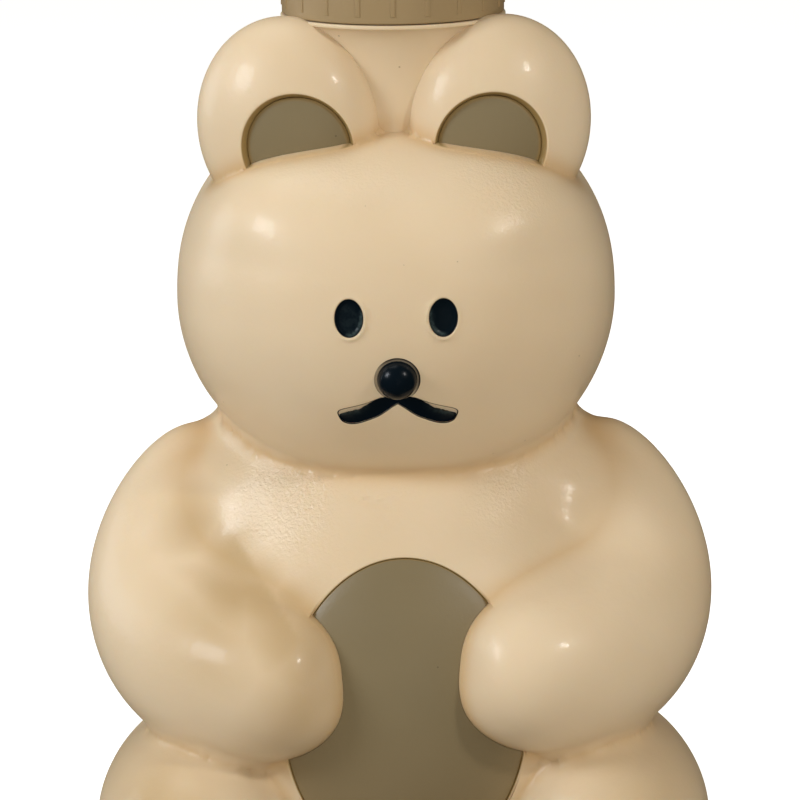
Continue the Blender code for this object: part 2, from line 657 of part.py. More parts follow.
def make_housing():
    white = plastic("white_plastic", WHITE, 0.35)
    air_out = AIR_BORE_RADIUS + HOUSING_WALL
    liquid_out = LIQUID_BORE_RADIUS + HOUSING_WALL
    socket = TUBE_RADIUS + SEAT_GAP
    socket_out = socket + HOUSING_WALL
    socket_foot = TUBE_TOP - SOCKET_DEPTH
    flange = FINISH_RADIUS + SEAT_GAP
    finish(turned("pump_housing", (
        (flange, FLANGE_TOP), (flange, FLANGE_FOOT), (air_out, FLANGE_FOOT),
        (air_out, AIR_FLOOR - HOUSING_WALL), (liquid_out, AIR_FLOOR - HOUSING_WALL),
        (liquid_out, LIQUID_FLOOR - HOUSING_WALL), (socket_out, LIQUID_FLOOR - SEAT_DEPTH),
        (socket_out, socket_foot), (socket, socket_foot), (socket, TUBE_TOP + SEAT_GAP),
        (SEAT_HOLE_RADIUS, TUBE_TOP + SEAT_GAP), (SEAT_HOLE_RADIUS, LIQUID_FLOOR - SURE_CUT),
        (BALL_RADIUS + SEAT_GAP, LIQUID_FLOOR), (LIQUID_BORE_RADIUS, LIQUID_FLOOR),
        (LIQUID_BORE_RADIUS, AIR_FLOOR), (AIR_BORE_RADIUS, AIR_FLOOR), (AIR_BORE_RADIUS, FLANGE_TOP),
    )), white)
    hole = SLEEVE_RADIUS + SLIDE_GAP
    plug = AIR_BORE_RADIUS - SEAT_GAP
    finish(turned("housing_cap", (
        (flange - SURE_CUT, CAP_TOP), (flange - SURE_CUT, FLANGE_TOP + SEAT_GAP),
        (plug, FLANGE_TOP + SEAT_GAP), (plug, CAP_FOOT), (hole, CAP_FOOT), (hole, CAP_TOP),
    ), INNER_FACET_COUNT), white)
    finish(turned("neck_gasket", (
        (FINISH_RADIUS, FLANGE_FOOT - SEAT_GAP), (FINISH_RADIUS, GASKET_FOOT),
        (BORE_RADIUS, GASKET_FOOT), (BORE_RADIUS, FLANGE_FOOT - SEAT_GAP),
    ), INNER_FACET_COUNT), plastic("silicone", SILICONE, 0.5))
    finish(turned("dip_tube", (
        (TUBE_RADIUS, TUBE_TOP), (TUBE_RADIUS, FLOOR_WALL + TUBE_FLOOR_GAP),
        (TUBE_BORE_RADIUS, FLOOR_WALL + TUBE_FLOOR_GAP), (TUBE_BORE_RADIUS, TUBE_TOP),
    ), 16), plastic("clear_plastic", CLEAR_GREY, 0.25))


def make_ball():
    centre = LIQUID_FLOOR + BALL_RISE
    finish(
        ellipsoid("inlet_ball", (0.0, 0.0, centre), (BALL_RADIUS,) * 3, 14, 8),
        plastic("steel", STEEL, 0.2, 1.0),
    )


def make_spring():
    """The coil between the liquid bore's floor and the liquid piston, closed flat at both ends."""
    foot = LIQUID_FLOOR + SEAT_GAP + SPRING_WIRE_RADIUS
    top = LIQUID_PISTON_FOOT - SEAT_GAP - SPRING_WIRE_RADIUS
    count = SPRING_CURLS * SPRING_CURL_POINTS
    closed = 2 * SPRING_WIRE_RADIUS + SLIDE_GAP
    points = []
    for n in range(count + 1):
        turn = n / SPRING_CURL_POINTS
        share = (turn - 1) / (SPRING_CURLS - 2)
        height = foot + closed + (top - foot - 2 * closed) * share
        if turn < 1:
            height = foot + closed * turn
        elif turn > SPRING_CURLS - 1:
            height = top - closed * (SPRING_CURLS - turn)
        angle = FULL_TURN * turn
        points.append(Vector((SPRING_RADIUS * math.cos(angle), SPRING_RADIUS * math.sin(angle), height)))
    apart = [
        (a - b).length for i, a in enumerate(points) for b in points[i + SPRING_CURL_POINTS // 2:]
    ]
    print(f"return_spring: least gap to itself {min(apart) - 2 * SPRING_WIRE_RADIUS:.2f} mm")
    curve = bpy.data.curves.new("return_spring", "CURVE")
    curve.dimensions = "3D"
    curve.bevel_depth = SPRING_WIRE_RADIUS * MM
    curve.bevel_resolution = 1
    curve.use_fill_caps = True
    line = curve.splines.new("POLY")
    line.points.add(len(points) - 1)
    for spot, point in zip(line.points, points):
        spot.co = (*(point * MM), 1.0)
    spring = bpy.data.objects.new("return_spring", curve)
    bpy.context.collection.objects.link(spring)
    curve.materials.append(plastic("steel", STEEL, 0.2, 1.0))


def make_pistons():
    white = plastic("white_plastic", WHITE, 0.35)
    lip = AIR_BORE_RADIUS - SEAT_GAP
    inside = STEM_RADIUS + SEAT_GAP
    hub = inside + PISTON_HUB_WALL
    tongue = SLEEVE_BORE_RADIUS - SEAT_GAP
    tongue_top = STEM_TOP - STEM_TONGUE_DROP
    piston = turned("air_piston", (
        (lip, PISTON_TOP), (lip, PISTON_FOOT), (lip - PISTON_LIP_WALL, PISTON_FOOT),
        (lip - PISTON_LIP_WALL, WEB_FOOT), (hub, WEB_FOOT), (hub, PISTON_FOOT - SURE_CUT),
        (inside, PISTON_FOOT - SURE_CUT), (inside, tongue_top), (tongue, tongue_top),
        (tongue, WEB_TOP), (lip - PISTON_LIP_WALL, WEB_TOP), (lip - PISTON_LIP_WALL, PISTON_TOP),
    ))
    ring = (tongue + SLEEVE_RADIUS) / 2
    for n in range(AIR_HOLES):
        angle = FULL_TURN * n / AIR_HOLES
        bm = bmesh.new()
        bmesh.ops.create_cone(
            bm, cap_ends=True, segments=8, depth=3 * PISTON_WEB,
            radius1=AIR_HOLE_RADIUS, radius2=AIR_HOLE_RADIUS,
        )
        middle = (ring * math.cos(angle), ring * math.sin(angle), (WEB_TOP + WEB_FOOT) / 2)
        bmesh.ops.translate(bm, vec=middle, verts=bm.verts)
        combine(piston, object_from("air_hole", bm), "DIFFERENCE")
    finish(piston, white)
    valve_in = hub + SEAT_GAP
    valve_out = lip - PISTON_LIP_WALL - SEAT_GAP
    valve_top = WEB_FOOT - SEAT_GAP
    finish(turned("air_valve", (
        (valve_out, valve_top), (valve_out, valve_top - VALVE_THICKNESS),
        (valve_in, valve_top - VALVE_THICKNESS), (valve_in, valve_top),
    ), INNER_FACET_COUNT), plastic("silicone", SILICONE, 0.5))
    stem_foot = LIQUID_PISTON_FOOT + STEM_SEAT_RISE
    finish(turned("piston_stem", (
        (STEM_RADIUS, STEM_TOP), (STEM_RADIUS, stem_foot), (STEM_BORE_RADIUS, stem_foot),
        (STEM_BORE_RADIUS, STEM_TOP),
    ), INNER_FACET_COUNT), white)
    seal = LIQUID_BORE_RADIUS - SEAT_GAP
    mouth = STEM_BORE_RADIUS - LIQUID_MOUTH_LIP
    finish(turned("liquid_piston", (
        (seal, LIQUID_PISTON_TOP), (seal, LIQUID_PISTON_FOOT), (mouth, LIQUID_PISTON_FOOT),
        (mouth, stem_foot - SEAT_GAP), (inside, stem_foot - SEAT_GAP), (inside, LIQUID_PISTON_TOP),
    ), INNER_FACET_COUNT), plastic("clear_plastic", CLEAR_GREY, 0.25))
    head_top = LIQUID_PISTON_FOOT - SEAT_GAP
    head_foot = head_top - POPPET_HEAD_HEIGHT
    finish(turned("poppet_rod", (
        (0.0, head_foot), (POPPET_HEAD_RADIUS - POPPET_HEAD_TAPER, head_foot),
        (POPPET_HEAD_RADIUS, head_top - POPPET_HEAD_CHAMFER),
        (POPPET_HEAD_RADIUS, head_top), (POPPET_ROD_RADIUS, head_top),
        (POPPET_ROD_RADIUS, head_foot + POPPET_LENGTH), (0.0, head_foot + POPPET_LENGTH),
    ), 16), white)


def screen_mesh(name, foot):
    """A disc of moulded mesh: square gaps on a square pitch inside a plain rim."""
    radius = SLEEVE_BORE_RADIUS - SEAT_GAP
    top = foot + SCREEN_THICKNESS
    disc = turned(name, ((0.0, top), (radius, top), (radius, foot), (0.0, foot)), 20)
    reach = int(radius // SCREEN_PITCH)
    half = SCREEN_HOLE / 2
    for i in range(-reach, reach + 1):
        for j in range(-reach, reach + 1):
            x = i * SCREEN_PITCH
            y = j * SCREEN_PITCH
            if math.hypot(abs(x) + half, abs(y) + half) > radius - FOAM_TUBE_WALL:
                continue
            gap = block("gap", (x - half, y - half, foot - SURE_CUT), (x + half, y + half, foot + SURE_CUT))
            combine(disc, gap, "DIFFERENCE")
    return finish(disc, plastic("mesh_nylon", WHITE, 0.5))


def spout_line():
    """The spout's own line, from the axis out to its tip."""
    height = BUTTON_FOOT + BUTTON_HEIGHT / 2
    middle = (0.0, -SPOUT_BEND_SHARE * SPOUT_REACH, height + SPOUT_ARCH)
    return ((0.0, 0.0, height), middle, (0.0, -SPOUT_REACH, height - SPOUT_DROP))


def spout_tube(name, root, tip, beyond, start=0.0, segments=20, steps=8):
    """A tapered round bar along the spout's line, which runs on past the tip."""
    bm = bmesh.new()
    line = spout_line()
    rows = []
    for n in range(steps + 1):
        t = start + (1 + beyond - start) * n / steps
        here = bend(line, t)
        ahead = (bend(line, t + 0.01) - here).normalized()
        out = Vector((1, 0, 0))
        up = out.cross(ahead).normalized()
        size = root + (tip - root) * t
        angles = [FULL_TURN * k / segments for k in range(segments)]
        rows.append([bm.verts.new(here + (out * math.cos(a) + up * math.sin(a)) * size) for a in angles])
    for row in (rows[0], rows[-1]):
        bm.faces.new(row)
    for near, far in zip(rows, rows[1:]):
        for k in range(segments):
            m = (k + 1) % segments
            bm.faces.new((near[k], far[k], far[m], near[m]))
    return object_from(name, bm)


def make_head():
    top = BUTTON_FOOT + BUTTON_HEIGHT
    profile = [(0.0, top)]
    steps = 7
    for n in range(1, steps + 1):
        angle = math.pi / 2 * (1 - n / steps)
        high = BUTTON_HEIGHT - BUTTON_LIP
        profile.append((
            BUTTON_RADIUS * math.cos(angle) ** BUTTON_ROUNDING,
            BUTTON_FOOT + BUTTON_LIP + high * math.sin(angle) ** BUTTON_ROUNDING,
        ))
    profile += [
        (BUTTON_RADIUS, BUTTON_FOOT + BUTTON_CHAMFER), (BUTTON_RADIUS - BUTTON_CHAMFER, BUTTON_FOOT),
        (SLEEVE_RADIUS, BUTTON_FOOT), (SLEEVE_RADIUS, SLEEVE_FOOT),
        (SLEEVE_BORE_RADIUS, SLEEVE_FOOT), (SLEEVE_BORE_RADIUS, SLEEVE_BORE_TOP), (0.0, SLEEVE_BORE_TOP),
    ]
    head = turned("pump_head", profile)
    spout = spout_tube("spout", SPOUT_ROOT_RADIUS, SPOUT_TIP_RADIUS, 0.0, SPOUT_START)
    combine(spout, turned("sleeve_room", (
        (0.0, SLEEVE_BORE_TOP), (SLEEVE_BORE_RADIUS, SLEEVE_BORE_TOP),
        (SLEEVE_BORE_RADIUS, SLEEVE_FOOT), (0.0, SLEEVE_FOOT),
    )), "DIFFERENCE")
    combine(head, spout, "UNION")
    channel = spout_tube("channel", SPOUT_BORE_RADIUS, SPOUT_BORE_RADIUS, 0.1, 0.0, 14)
    combine(head, channel, "DIFFERENCE")
    riser_top = bend(spout_line(), 0.0).z + SPOUT_BORE_RADIUS / 3
    combine(head, turned("riser", (
        (0.0, riser_top), (SPOUT_BORE_RADIUS + RISER_SPARE, riser_top),
        (SPOUT_BORE_RADIUS + RISER_SPARE, SLEEVE_BORE_TOP - SURE_CUT), (0.0, SLEEVE_BORE_TOP - SURE_CUT),
    ), 16), "DIFFERENCE")
    finish(head, plastic("khaki_plastic", KHAKI, 0.42))
    outside = SLEEVE_BORE_RADIUS - SEAT_GAP
    finish(turned("foam_tube", (
        (outside, FOAM_TUBE_TOP), (outside, FOAM_TUBE_FOOT),
        (outside - FOAM_TUBE_WALL, FOAM_TUBE_FOOT), (outside - FOAM_TUBE_WALL, FOAM_TUBE_TOP),
    ), INNER_FACET_COUNT), plastic("white_plastic", WHITE, 0.35))
    screen_mesh("lower_screen", STEM_TOP + SEAT_GAP)
    screen_mesh("upper_screen", FOAM_TUBE_TOP + SEAT_GAP)


def main():
    clear_scene()
    make_bottle()
    make_belly_panel()
    make_ear_panels()
    make_face()
    make_collar()
    make_housing()
    make_ball()
    make_spring()
    make_pistons()
    make_head()


main()
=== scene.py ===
# %% [markdown]
# # A foaming soap dispenser with a bear for a bottle
#
# The dispenser is a hollow, blow-moulded bottle in the shape of a sitting bear. A foam pump
# is screwed on its neck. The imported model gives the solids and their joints. This script
# dresses them: it makes finer skins where the solids are faceted, and it gives every piece
# a material that is worked out from its own surface.

# %% Load the frame
import contextlib
import math

import bmesh
import bpy
import numpy as np
from mathutils import Matrix, Vector


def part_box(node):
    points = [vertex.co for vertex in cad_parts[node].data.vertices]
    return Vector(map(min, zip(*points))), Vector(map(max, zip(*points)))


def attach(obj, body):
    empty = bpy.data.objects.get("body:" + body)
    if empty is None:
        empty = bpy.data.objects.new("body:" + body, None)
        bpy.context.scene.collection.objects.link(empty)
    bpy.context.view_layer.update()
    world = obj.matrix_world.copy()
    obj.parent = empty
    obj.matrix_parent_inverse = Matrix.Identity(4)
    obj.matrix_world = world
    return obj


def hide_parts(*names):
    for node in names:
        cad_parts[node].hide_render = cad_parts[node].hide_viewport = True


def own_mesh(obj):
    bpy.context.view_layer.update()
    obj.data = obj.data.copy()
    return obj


MM = 0.001

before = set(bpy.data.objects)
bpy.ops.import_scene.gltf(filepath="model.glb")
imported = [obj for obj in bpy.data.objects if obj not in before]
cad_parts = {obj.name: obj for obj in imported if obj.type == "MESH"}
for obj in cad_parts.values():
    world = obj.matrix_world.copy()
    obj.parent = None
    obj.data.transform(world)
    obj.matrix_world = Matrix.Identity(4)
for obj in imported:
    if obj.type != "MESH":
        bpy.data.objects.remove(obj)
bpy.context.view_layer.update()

# %% [markdown]
# ## Camera, light and floor
#
# The picture was taken from a little above, with a long lens, close enough to cut off the
# feet and the pump's head. A lens of 220 mm keeps the bear's outline nearly flat, as there.

# %% Camera
CAMERA_HEIGHT_ANGLE = math.radians(12.0)
CAMERA_ROLL = math.radians(0.6)
CAMERA_DISTANCE = 0.8
CAMERA_AIM = Vector((0.0022, 0.0, 0.0815))
FOCAL_PIXELS = 4880
PICTURE_PIXELS = 800
SENSOR_WIDTH = 36.0

lens = bpy.data.cameras.new("camera")
lens.sensor_width = SENSOR_WIDTH
lens.lens = FOCAL_PIXELS / PICTURE_PIXELS * SENSOR_WIDTH
lens.clip_start = 0.01
camera = bpy.data.objects.new("camera", lens)
away = Vector((0.0, -math.cos(CAMERA_HEIGHT_ANGLE), math.sin(CAMERA_HEIGHT_ANGLE)))
camera.location = CAMERA_AIM + CAMERA_DISTANCE * away
camera.rotation_euler = (math.pi / 2 - CAMERA_HEIGHT_ANGLE, CAMERA_ROLL, 0.0)
bpy.context.collection.objects.link(camera)
bpy.context.scene.camera = camera
print("camera:", round(lens.lens), "mm lens")

# %% [markdown]
# The two bright spots on the nose say where the lights stood: a broad, cool one high on the
# left and a small, warm one high on the right. Each is a square panel, so that its
# reflection is soft. A low panel in front lightens the underside of chin and hands and isn't
# mirrored, one behind on the left draws a rim, and one above lights the crown. A dim, warm
# surround, which isn't mirrored either, fills what shade is left.

# %% Lights
LIGHT_DISTANCE = 0.9
LIGHTS = (
    # name, direction, size in metres, watts, tint, and whether the bear mirrors it
    ("light_left", (-0.80, -0.40, 0.46), 0.26, 4.0, (0.95, 1.0, 1.08), True),
    ("light_right", (0.60, -0.56, 0.56), 0.07, 1.9, (1.0, 0.97, 0.93), True),
    ("light_low", (0.10, -0.99, -0.04), 0.36, 3.3, (1.0, 0.98, 0.95), False),
    ("light_rim", (-0.90, 0.30, 0.20), 0.40, 1.4, (0.94, 1.0, 1.08), True),
    ("light_top", (-0.25, 0.1, 1.0), 0.5, 1.5, (1.0, 0.99, 0.97), True),
)
SURROUND_COLOUR = (1.0, 0.91, 0.78, 1.0)
SURROUND_STRENGTH = 0.335

for name, direction, size, watts, tint, mirrored in LIGHTS:
    panel = bpy.data.lights.new(name, "AREA")
    panel.size = size
    panel.energy = watts
    panel.color = tint
    lamp = bpy.data.objects.new(name, panel)
    toward = Vector(direction).normalized()
    lamp.location = CAMERA_AIM + LIGHT_DISTANCE * toward
    lamp.rotation_euler = (-toward).to_track_quat("-Z", "Y").to_euler()
    lamp.visible_glossy = mirrored
    bpy.context.collection.objects.link(lamp)

surround = bpy.data.worlds.new("surround")
bpy.context.scene.world = surround
surround.use_nodes = True
background = surround.node_tree.nodes["Background"]
background.inputs["Color"].default_value = SURROUND_COLOUR
background.inputs["Strength"].default_value = SURROUND_STRENGTH
surround.cycles_visibility.glossy = False
bpy.context.scene.view_settings.view_transform = "Standard"
print("lights:", len(LIGHTS), "panels and a surround")

# %% [markdown]
# The photograph's ground is plain white without a horizon. One large sheet that shines a
# little gives that. It is kept out of mirrorings and of the light that comes back from
# below, so that it doesn't change the plastic's tones.

# %% Floor
FLOOR_HALF = 6.0


def object_from(name, bm):
    """A new object with the bmesh's faces."""
    mesh = bpy.data.meshes.new(name)
    bm.to_mesh(mesh)
    bm.free()
    made = bpy.data.objects.new(name, mesh)
    bpy.context.collection.objects.link(made)
    return made


def put(value, socket):
    """Links the value to the socket if it is a socket itself, and otherwise sets it."""
    if isinstance(value, bpy.types.NodeSocket):
        socket.id_data.links.new(value, socket)
    elif socket.type == "RGBA":
        socket.default_value = (*value[:3], 1.0)
    else:
        socket.default_value = value


def feed(node, **inputs):
    """Puts each value into the node's socket of that name."""
    for label, value in inputs.items():
        put(value, node.inputs[label.replace("_", " ")])


def new_material(name):
    """A material and its one shader."""
    made = bpy.data.materials.new(name)
    made.use_nodes = True
    return made, made.node_tree.nodes["Principled BSDF"]


sheet = bmesh.new()
bmesh.ops.create_grid(sheet, x_segments=2, y_segments=2, size=FLOOR_HALF)
floor = object_from("floor", sheet)
floor.visible_diffuse = False
floor.visible_glossy = False
floor_paint, floor_shader = new_material("floor_white")
feed(
    floor_shader, Base_Color=(0.88, 0.88, 0.87), Roughness=0.9,
    Emission_Color=(1.0, 1.0, 1.0), Emission_Strength=0.7,
)
floor.data.materials.append(floor_paint)
print("floor:", 2 * FLOOR_HALF, "m wide")

# %% [markdown]
# ## Finishes
#
# All plastics here share three effects, so each is a node group: a grain like orange peel,
# the tiny dark specks of the moulding, and a slow drift of tone. The groups read Object
# coordinates in metres, so a scale of 1000 gives a feature of about a millimetre. These
# helpers place the nodes and link them.

# %% Node helpers


def add(tree, kind, **settings):
    """A new node. Settings that name one of its sockets go into that socket."""
    node = tree.nodes.new(kind)
    for label, value in settings.items():
        socket = node.inputs.get(label.replace("_", " "))
        if socket is not None:
            put(value, socket)
        else:
            setattr(node, label, value)
    return node


def start_group(name, output, **inputs):
    """An empty group with number sockets, its input node and its output node."""
    group = bpy.data.node_groups.new(name, "ShaderNodeTree")
    for label, value in inputs.items():
        socket = group.interface.new_socket(label, in_out="INPUT", socket_type="NodeSocketFloat")
        socket.default_value = value
    group.interface.new_socket(output, in_out="OUTPUT", socket_type="NodeSocketFloat")
    return group, group.nodes.new("NodeGroupInput").outputs, group.nodes.new("NodeGroupOutput")


def texture_in(group, given, kind, **settings):
    """A texture that reads Object coordinates at the group's own scale."""
    place = group.nodes.new("ShaderNodeTexCoord").outputs["Object"]
    return add(group, kind, Vector=place, Scale=given["Scale"], **settings).outputs


def use_group(tree, group, **values):
    """The group placed in a material, with its own values. Returns its one output."""
    node = tree.nodes.new("ShaderNodeGroup")
    node.node_tree = group
    feed(node, **values)
    return node.outputs[0]


def attribute(tree, name):
    """The number that each point of a piece carries under this name."""
    return add(tree, "ShaderNodeAttribute", attribute_name=name).outputs["Fac"]


# %% [markdown]
# Three small nodes do all the painting: a ramp bends a number, a sum joins two numbers, and
# a mix turns one colour into another by a number.

# %% Ramps, sums and mixes


def ramp(factor, *stops):
    """A ramp through the stops, as (place, grey), fed by the factor."""
    node = factor.id_data.nodes.new("ShaderNodeValToRGB")
    marks = node.color_ramp.elements
    while len(marks) < len(stops):
        marks.new(0.5)
    for mark, (place, grey) in zip(marks, stops):
        mark.position = place
        mark.color = (grey, grey, grey, 1.0)
    put(factor, node.inputs["Fac"])
    return node.outputs["Color"]


def sum_of(operation, first, second):
    """One sum of a socket and a second socket or number."""
    node = first.id_data.nodes.new("ShaderNodeMath")
    node.operation = operation
    put(first, node.inputs[0])
    put(second, node.inputs[1])
    return node.outputs["Value"]


def mix_colours(factor, first, second):
    """The first colour turned into the second by the factor. Each is a socket or a colour."""
    node = factor.id_data.nodes.new("ShaderNodeMix")
    node.data_type = "RGBA"
    colours = [socket for socket in node.inputs if socket.type == "RGBA"]
    for socket, value in zip((node.inputs["Factor"], *colours), (factor, first, second)):
        put(value, socket)
    return [socket for socket in node.outputs if socket.type == "RGBA"][0]


# %% [markdown]
# Orange peel is plain noise, which bumps the surface. Specks are the cells of a Voronoi
# pattern: only points close to a cell's seed count, and only in a share of the cells, which
# are chosen by their random colour. The drift is wide noise, its middle greys spread apart.

# %% Peel, specks and drift
peel, given, result = start_group("orange_peel", "Height", Scale=900.0, Roughness=0.55)
noise = texture_in(peel, given, "ShaderNodeTexNoise", Detail=3.0, Roughness=given["Roughness"])
feed(result, Height=noise["Fac"])

specks, given, result = start_group("moulding_specks", "Mask", Scale=180.0, Size=0.05, Share=0.3)
cells = texture_in(specks, given, "ShaderNodeTexVoronoi")
near_seed = sum_of("LESS_THAN", cells["Distance"], given["Size"])
cell_tone = add(specks, "ShaderNodeSeparateColor", Color=cells["Color"])
chosen = sum_of("LESS_THAN", cell_tone.outputs["Red"], given["Share"])
feed(result, Mask=sum_of("MULTIPLY", near_seed, chosen))

drift, given, result = start_group("tone_drift", "Mask", Scale=30.0)
noise = texture_in(drift, given, "ShaderNodeTexNoise", Detail=2.0)
feed(result, Mask=ramp(noise["Fac"], (0.35, 0.0), (0.65, 1.0)))
print("groups:", peel.name, specks.name, drift.name)

# %% [markdown]
# A plastic's shader is set up once: its own colour, its gloss, a little light that passes
# under the skin, and a bump from the peel.

# %% Plastics
SPECK_DARKNESS = 0.35
SPECK_STRENGTH = 0.55
DULLER = 1.18
SKIN_DEPTH = 2.5 * MM
SKIN_REACH = (1.0, 0.55, 0.25)


def plastic(name, colour, deeper, roughness, peel_depth, peel_scale=900.0, soft=0.0, speck=0.3):
    """A moulded plastic that drifts between two tones: material, tree, shader, tone and bump."""
    made, shader = new_material(name)
    tree = made.node_tree
    tone = mix_colours(use_group(tree, drift, Scale=34.0), colour, deeper)
    dark = tuple(SPECK_DARKNESS * part for part in deeper)
    spots = use_group(tree, specks, Scale=210.0, Size=0.035, Share=speck)
    tone = mix_colours(sum_of("MULTIPLY", spots, SPECK_STRENGTH), tone, dark)
    matt = ramp(use_group(tree, drift, Scale=90.0), (0.0, roughness), (1.0, roughness * DULLER))
    height = use_group(tree, peel, Scale=peel_scale)
    bump = add(tree, "ShaderNodeBump", Strength=1.0, Distance=peel_depth * MM, Height=height)
    feed(
        shader, Base_Color=tone, Roughness=matt, Normal=bump.outputs["Normal"], IOR=1.5,
        Subsurface_Weight=soft, Subsurface_Radius=SKIN_REACH, Subsurface_Scale=SKIN_DEPTH,
    )
    return made, tree, shader, tone, bump


print("plastic: light reaches", round(SKIN_DEPTH / MM, 1), "mm under the skin")

# %% [markdown]
# The cream of the bottle adds painted shade: warm and dark in the folds, and deeper in patches
# where the forms turn from the light. It adds a golden fringe beside each khaki field, partly
# faded paint and partly painted shade under the rolled edge, and the rougher grain that the chest
# shows. Where each of them lies is told by numbers that the skin's points carry, and that are
# worked out once the skin is made.

# %% Cream
CREAM = (0.745, 0.60, 0.408)
CREAM_DEEP = (0.70, 0.55, 0.36)
# The next colour is painted shade for the folds between two forms.
FOLD_SHADE = (0.56, 0.34, 0.13)
# The next colour is painted shade, for the sides that turn from the light.
SHADE_COLOUR = (0.49, 0.345, 0.175)
# The fringe colour is partly faded paint and partly painted shade under the khaki's rolled edge.
FRINGE_AND_SHADE = (0.30, 0.20, 0.075)
NAVY = (0.0018, 0.0042, 0.0085)
GRAIN_DEPTH = 6.0

cream, tree, shader, tone, bump = plastic("cream_plastic", CREAM, CREAM_DEEP, 0.40, 0.05, soft=0.18)
# Painted shade: the folds between two forms are tinted a dark, warm brown.
fold_shaded = mix_colours(sum_of("MULTIPLY", attribute(tree, "fold"), 0.6), tone, FOLD_SHADE)
# The golden fringe beside the khaki is partly faded paint and partly painted shade.
edged_and_shaded = mix_colours(attribute(tree, "rim"), fold_shaded, FRINGE_AND_SHADE)
dark_edged = mix_colours(attribute(tree, "dark_edge"), edged_and_shaded, NAVY)
cloud = ramp(use_group(tree, drift, Scale=60.0), (0.0, 0.75), (1.0, 1.0))
# Painted shade: patches where the forms turn from the light are darkened, unevenly.
painted_shading = mix_colours(sum_of("MULTIPLY", attribute(tree, "painted_shade"), cloud), dark_edged, SHADE_COLOUR)

grain = attribute(tree, "grain")
fine = use_group(tree, peel, Scale=1900.0, Roughness=0.55)
coarse = use_group(tree, peel, Scale=520.0)
roughened = sum_of("MULTIPLY", sum_of("MULTIPLY", fine, grain), GRAIN_DEPTH)
flash_line = ramp(attribute(tree, "seam"), (0.36, 0.0), (0.5, 1.0), (0.64, 0.0))
feed(bump, Height=sum_of("ADD", sum_of("ADD", coarse, roughened), flash_line))
feed(
    shader, Base_Color=painted_shading, Roughness=ramp(grain, (0.0, 0.40), (1.0, 0.2)),
    Specular_IOR_Level=0.24, Coat_Weight=ramp(grain, (0.0, 0.1), (1.0, 0.6)),
    Coat_Roughness=0.13, Coat_Normal=bump.outputs["Normal"],
)
print("finish:", cream.name)

# %% [markdown]
# The khaki is the same plastic in another colour, a little lighter on the pump than on the
# bear, and lightened low on the belly's field, which is painted light against the shade
# between the legs. The face's dark blue is nearly black, and thins to a brushed grey where the
# paint ran out, at the ends of the mouth and on the left eye's floor. A grey-green on one side
# of each eye's wall is a painted reflection.

# %% Khaki and navy
KHAKI = (0.238, 0.186, 0.098)
KHAKI_DEEP = (0.215, 0.168, 0.088)
KHAKI_LIGHT = (0.345, 0.245, 0.122)
NAVY_DEEP = (0.0035, 0.0075, 0.0105)
# Brushed thin paint, and a painted reflection on one side of each eye's wall.
THIN_PAINT_AND_REFLECTION = (0.035, 0.052, 0.052)

khaki, tree, shader, tone, _ = plastic(
    "khaki_plastic", KHAKI, KHAKI_DEEP, 0.40, 0.03, peel_scale=1300.0, soft=0.05,
)
# Lighter on collar and pump head; low on the belly's field the lightening is painted light.
lightened = mix_colours(attribute(tree, "lighter_and_painted_light"), tone, KHAKI_LIGHT)
# The khaki's own edge takes the fringe colour too: partly faded paint, partly painted shade.
feed(shader, Base_Color=mix_colours(attribute(tree, "rim"), lightened, FRINGE_AND_SHADE))

navy, tree, shader, tone, _ = plastic(
    "navy_gloss", NAVY, NAVY_DEEP, 0.2, 0.03, peel_scale=700.0, speck=0.0,
)
strokes = ramp(use_group(tree, peel, Scale=1100.0, Roughness=0.7), (0.42, 0.0), (0.6, 1.0))
# Thin paint shows brushed strokes; on the eyes' walls the same grey is a painted reflection.
brushed_and_reflected = sum_of("MULTIPLY", attribute(tree, "thin_paint_and_reflection"), sum_of("ADD", strokes, 0.35))
feed(shader, Base_Color=mix_colours(brushed_and_reflected, tone, THIN_PAINT_AND_REFLECTION), Specular_IOR_Level=0.15)
print("finishes:", khaki.name, navy.name)

# %% [markdown]
# ## Shaping tools
#
# Sizes are in millimetres, as on a drawing, and a finished piece is scaled to metres once.
# These few helpers turn a bmesh into an object, join and cut objects, and lathe a profile.

# %% Shaping tools


def piece_from(name, bm):
    """An object, still in millimetres, from a bmesh with its doubles merged."""
    bmesh.ops.remove_doubles(bm, verts=bm.verts, dist=1e-4)
    bmesh.ops.recalc_face_normals(bm, faces=bm.faces)
    return object_from(name, bm)


def apply_modifiers(piece):
    """Turns the piece's modifiers into plain mesh."""
    graph = bpy.context.evaluated_depsgraph_get()
    result = bpy.data.meshes.new_from_object(piece.evaluated_get(graph))
    piece.modifiers.clear()
    before = piece.data
    piece.data = result
    result.name = piece.name
    bpy.data.meshes.remove(before)


def carve(target, tool, operation="DIFFERENCE"):
    """Cuts the tool out of the target, or joins it, with the solver for closed meshes."""
    step = target.modifiers.new("carve", "BOOLEAN")
    step.operation = operation
    step.solver = "MANIFOLD"
    step.object = tool
    apply_modifiers(target)
    bpy.data.objects.remove(tool, do_unlink=True)


def lathe(name, profile, segments=96):
    """A turned piece from its section's outline, as (radius, height) points."""
    bm = bmesh.new()
    corners = [bm.verts.new((radius, 0.0, height)) for radius, height in profile]
    lines = []
    for here, after in zip(corners, corners[1:] + corners[:1]):
        if here.co.x > 0 or after.co.x > 0:
            lines.append(bm.edges.new((here, after)))
    bmesh.ops.spin(
        bm, geom=corners + lines, cent=(0, 0, 0), axis=(0, 0, 1),
        angle=2 * math.pi, steps=segments, use_merge=True,
    )
    return piece_from(name, bm)


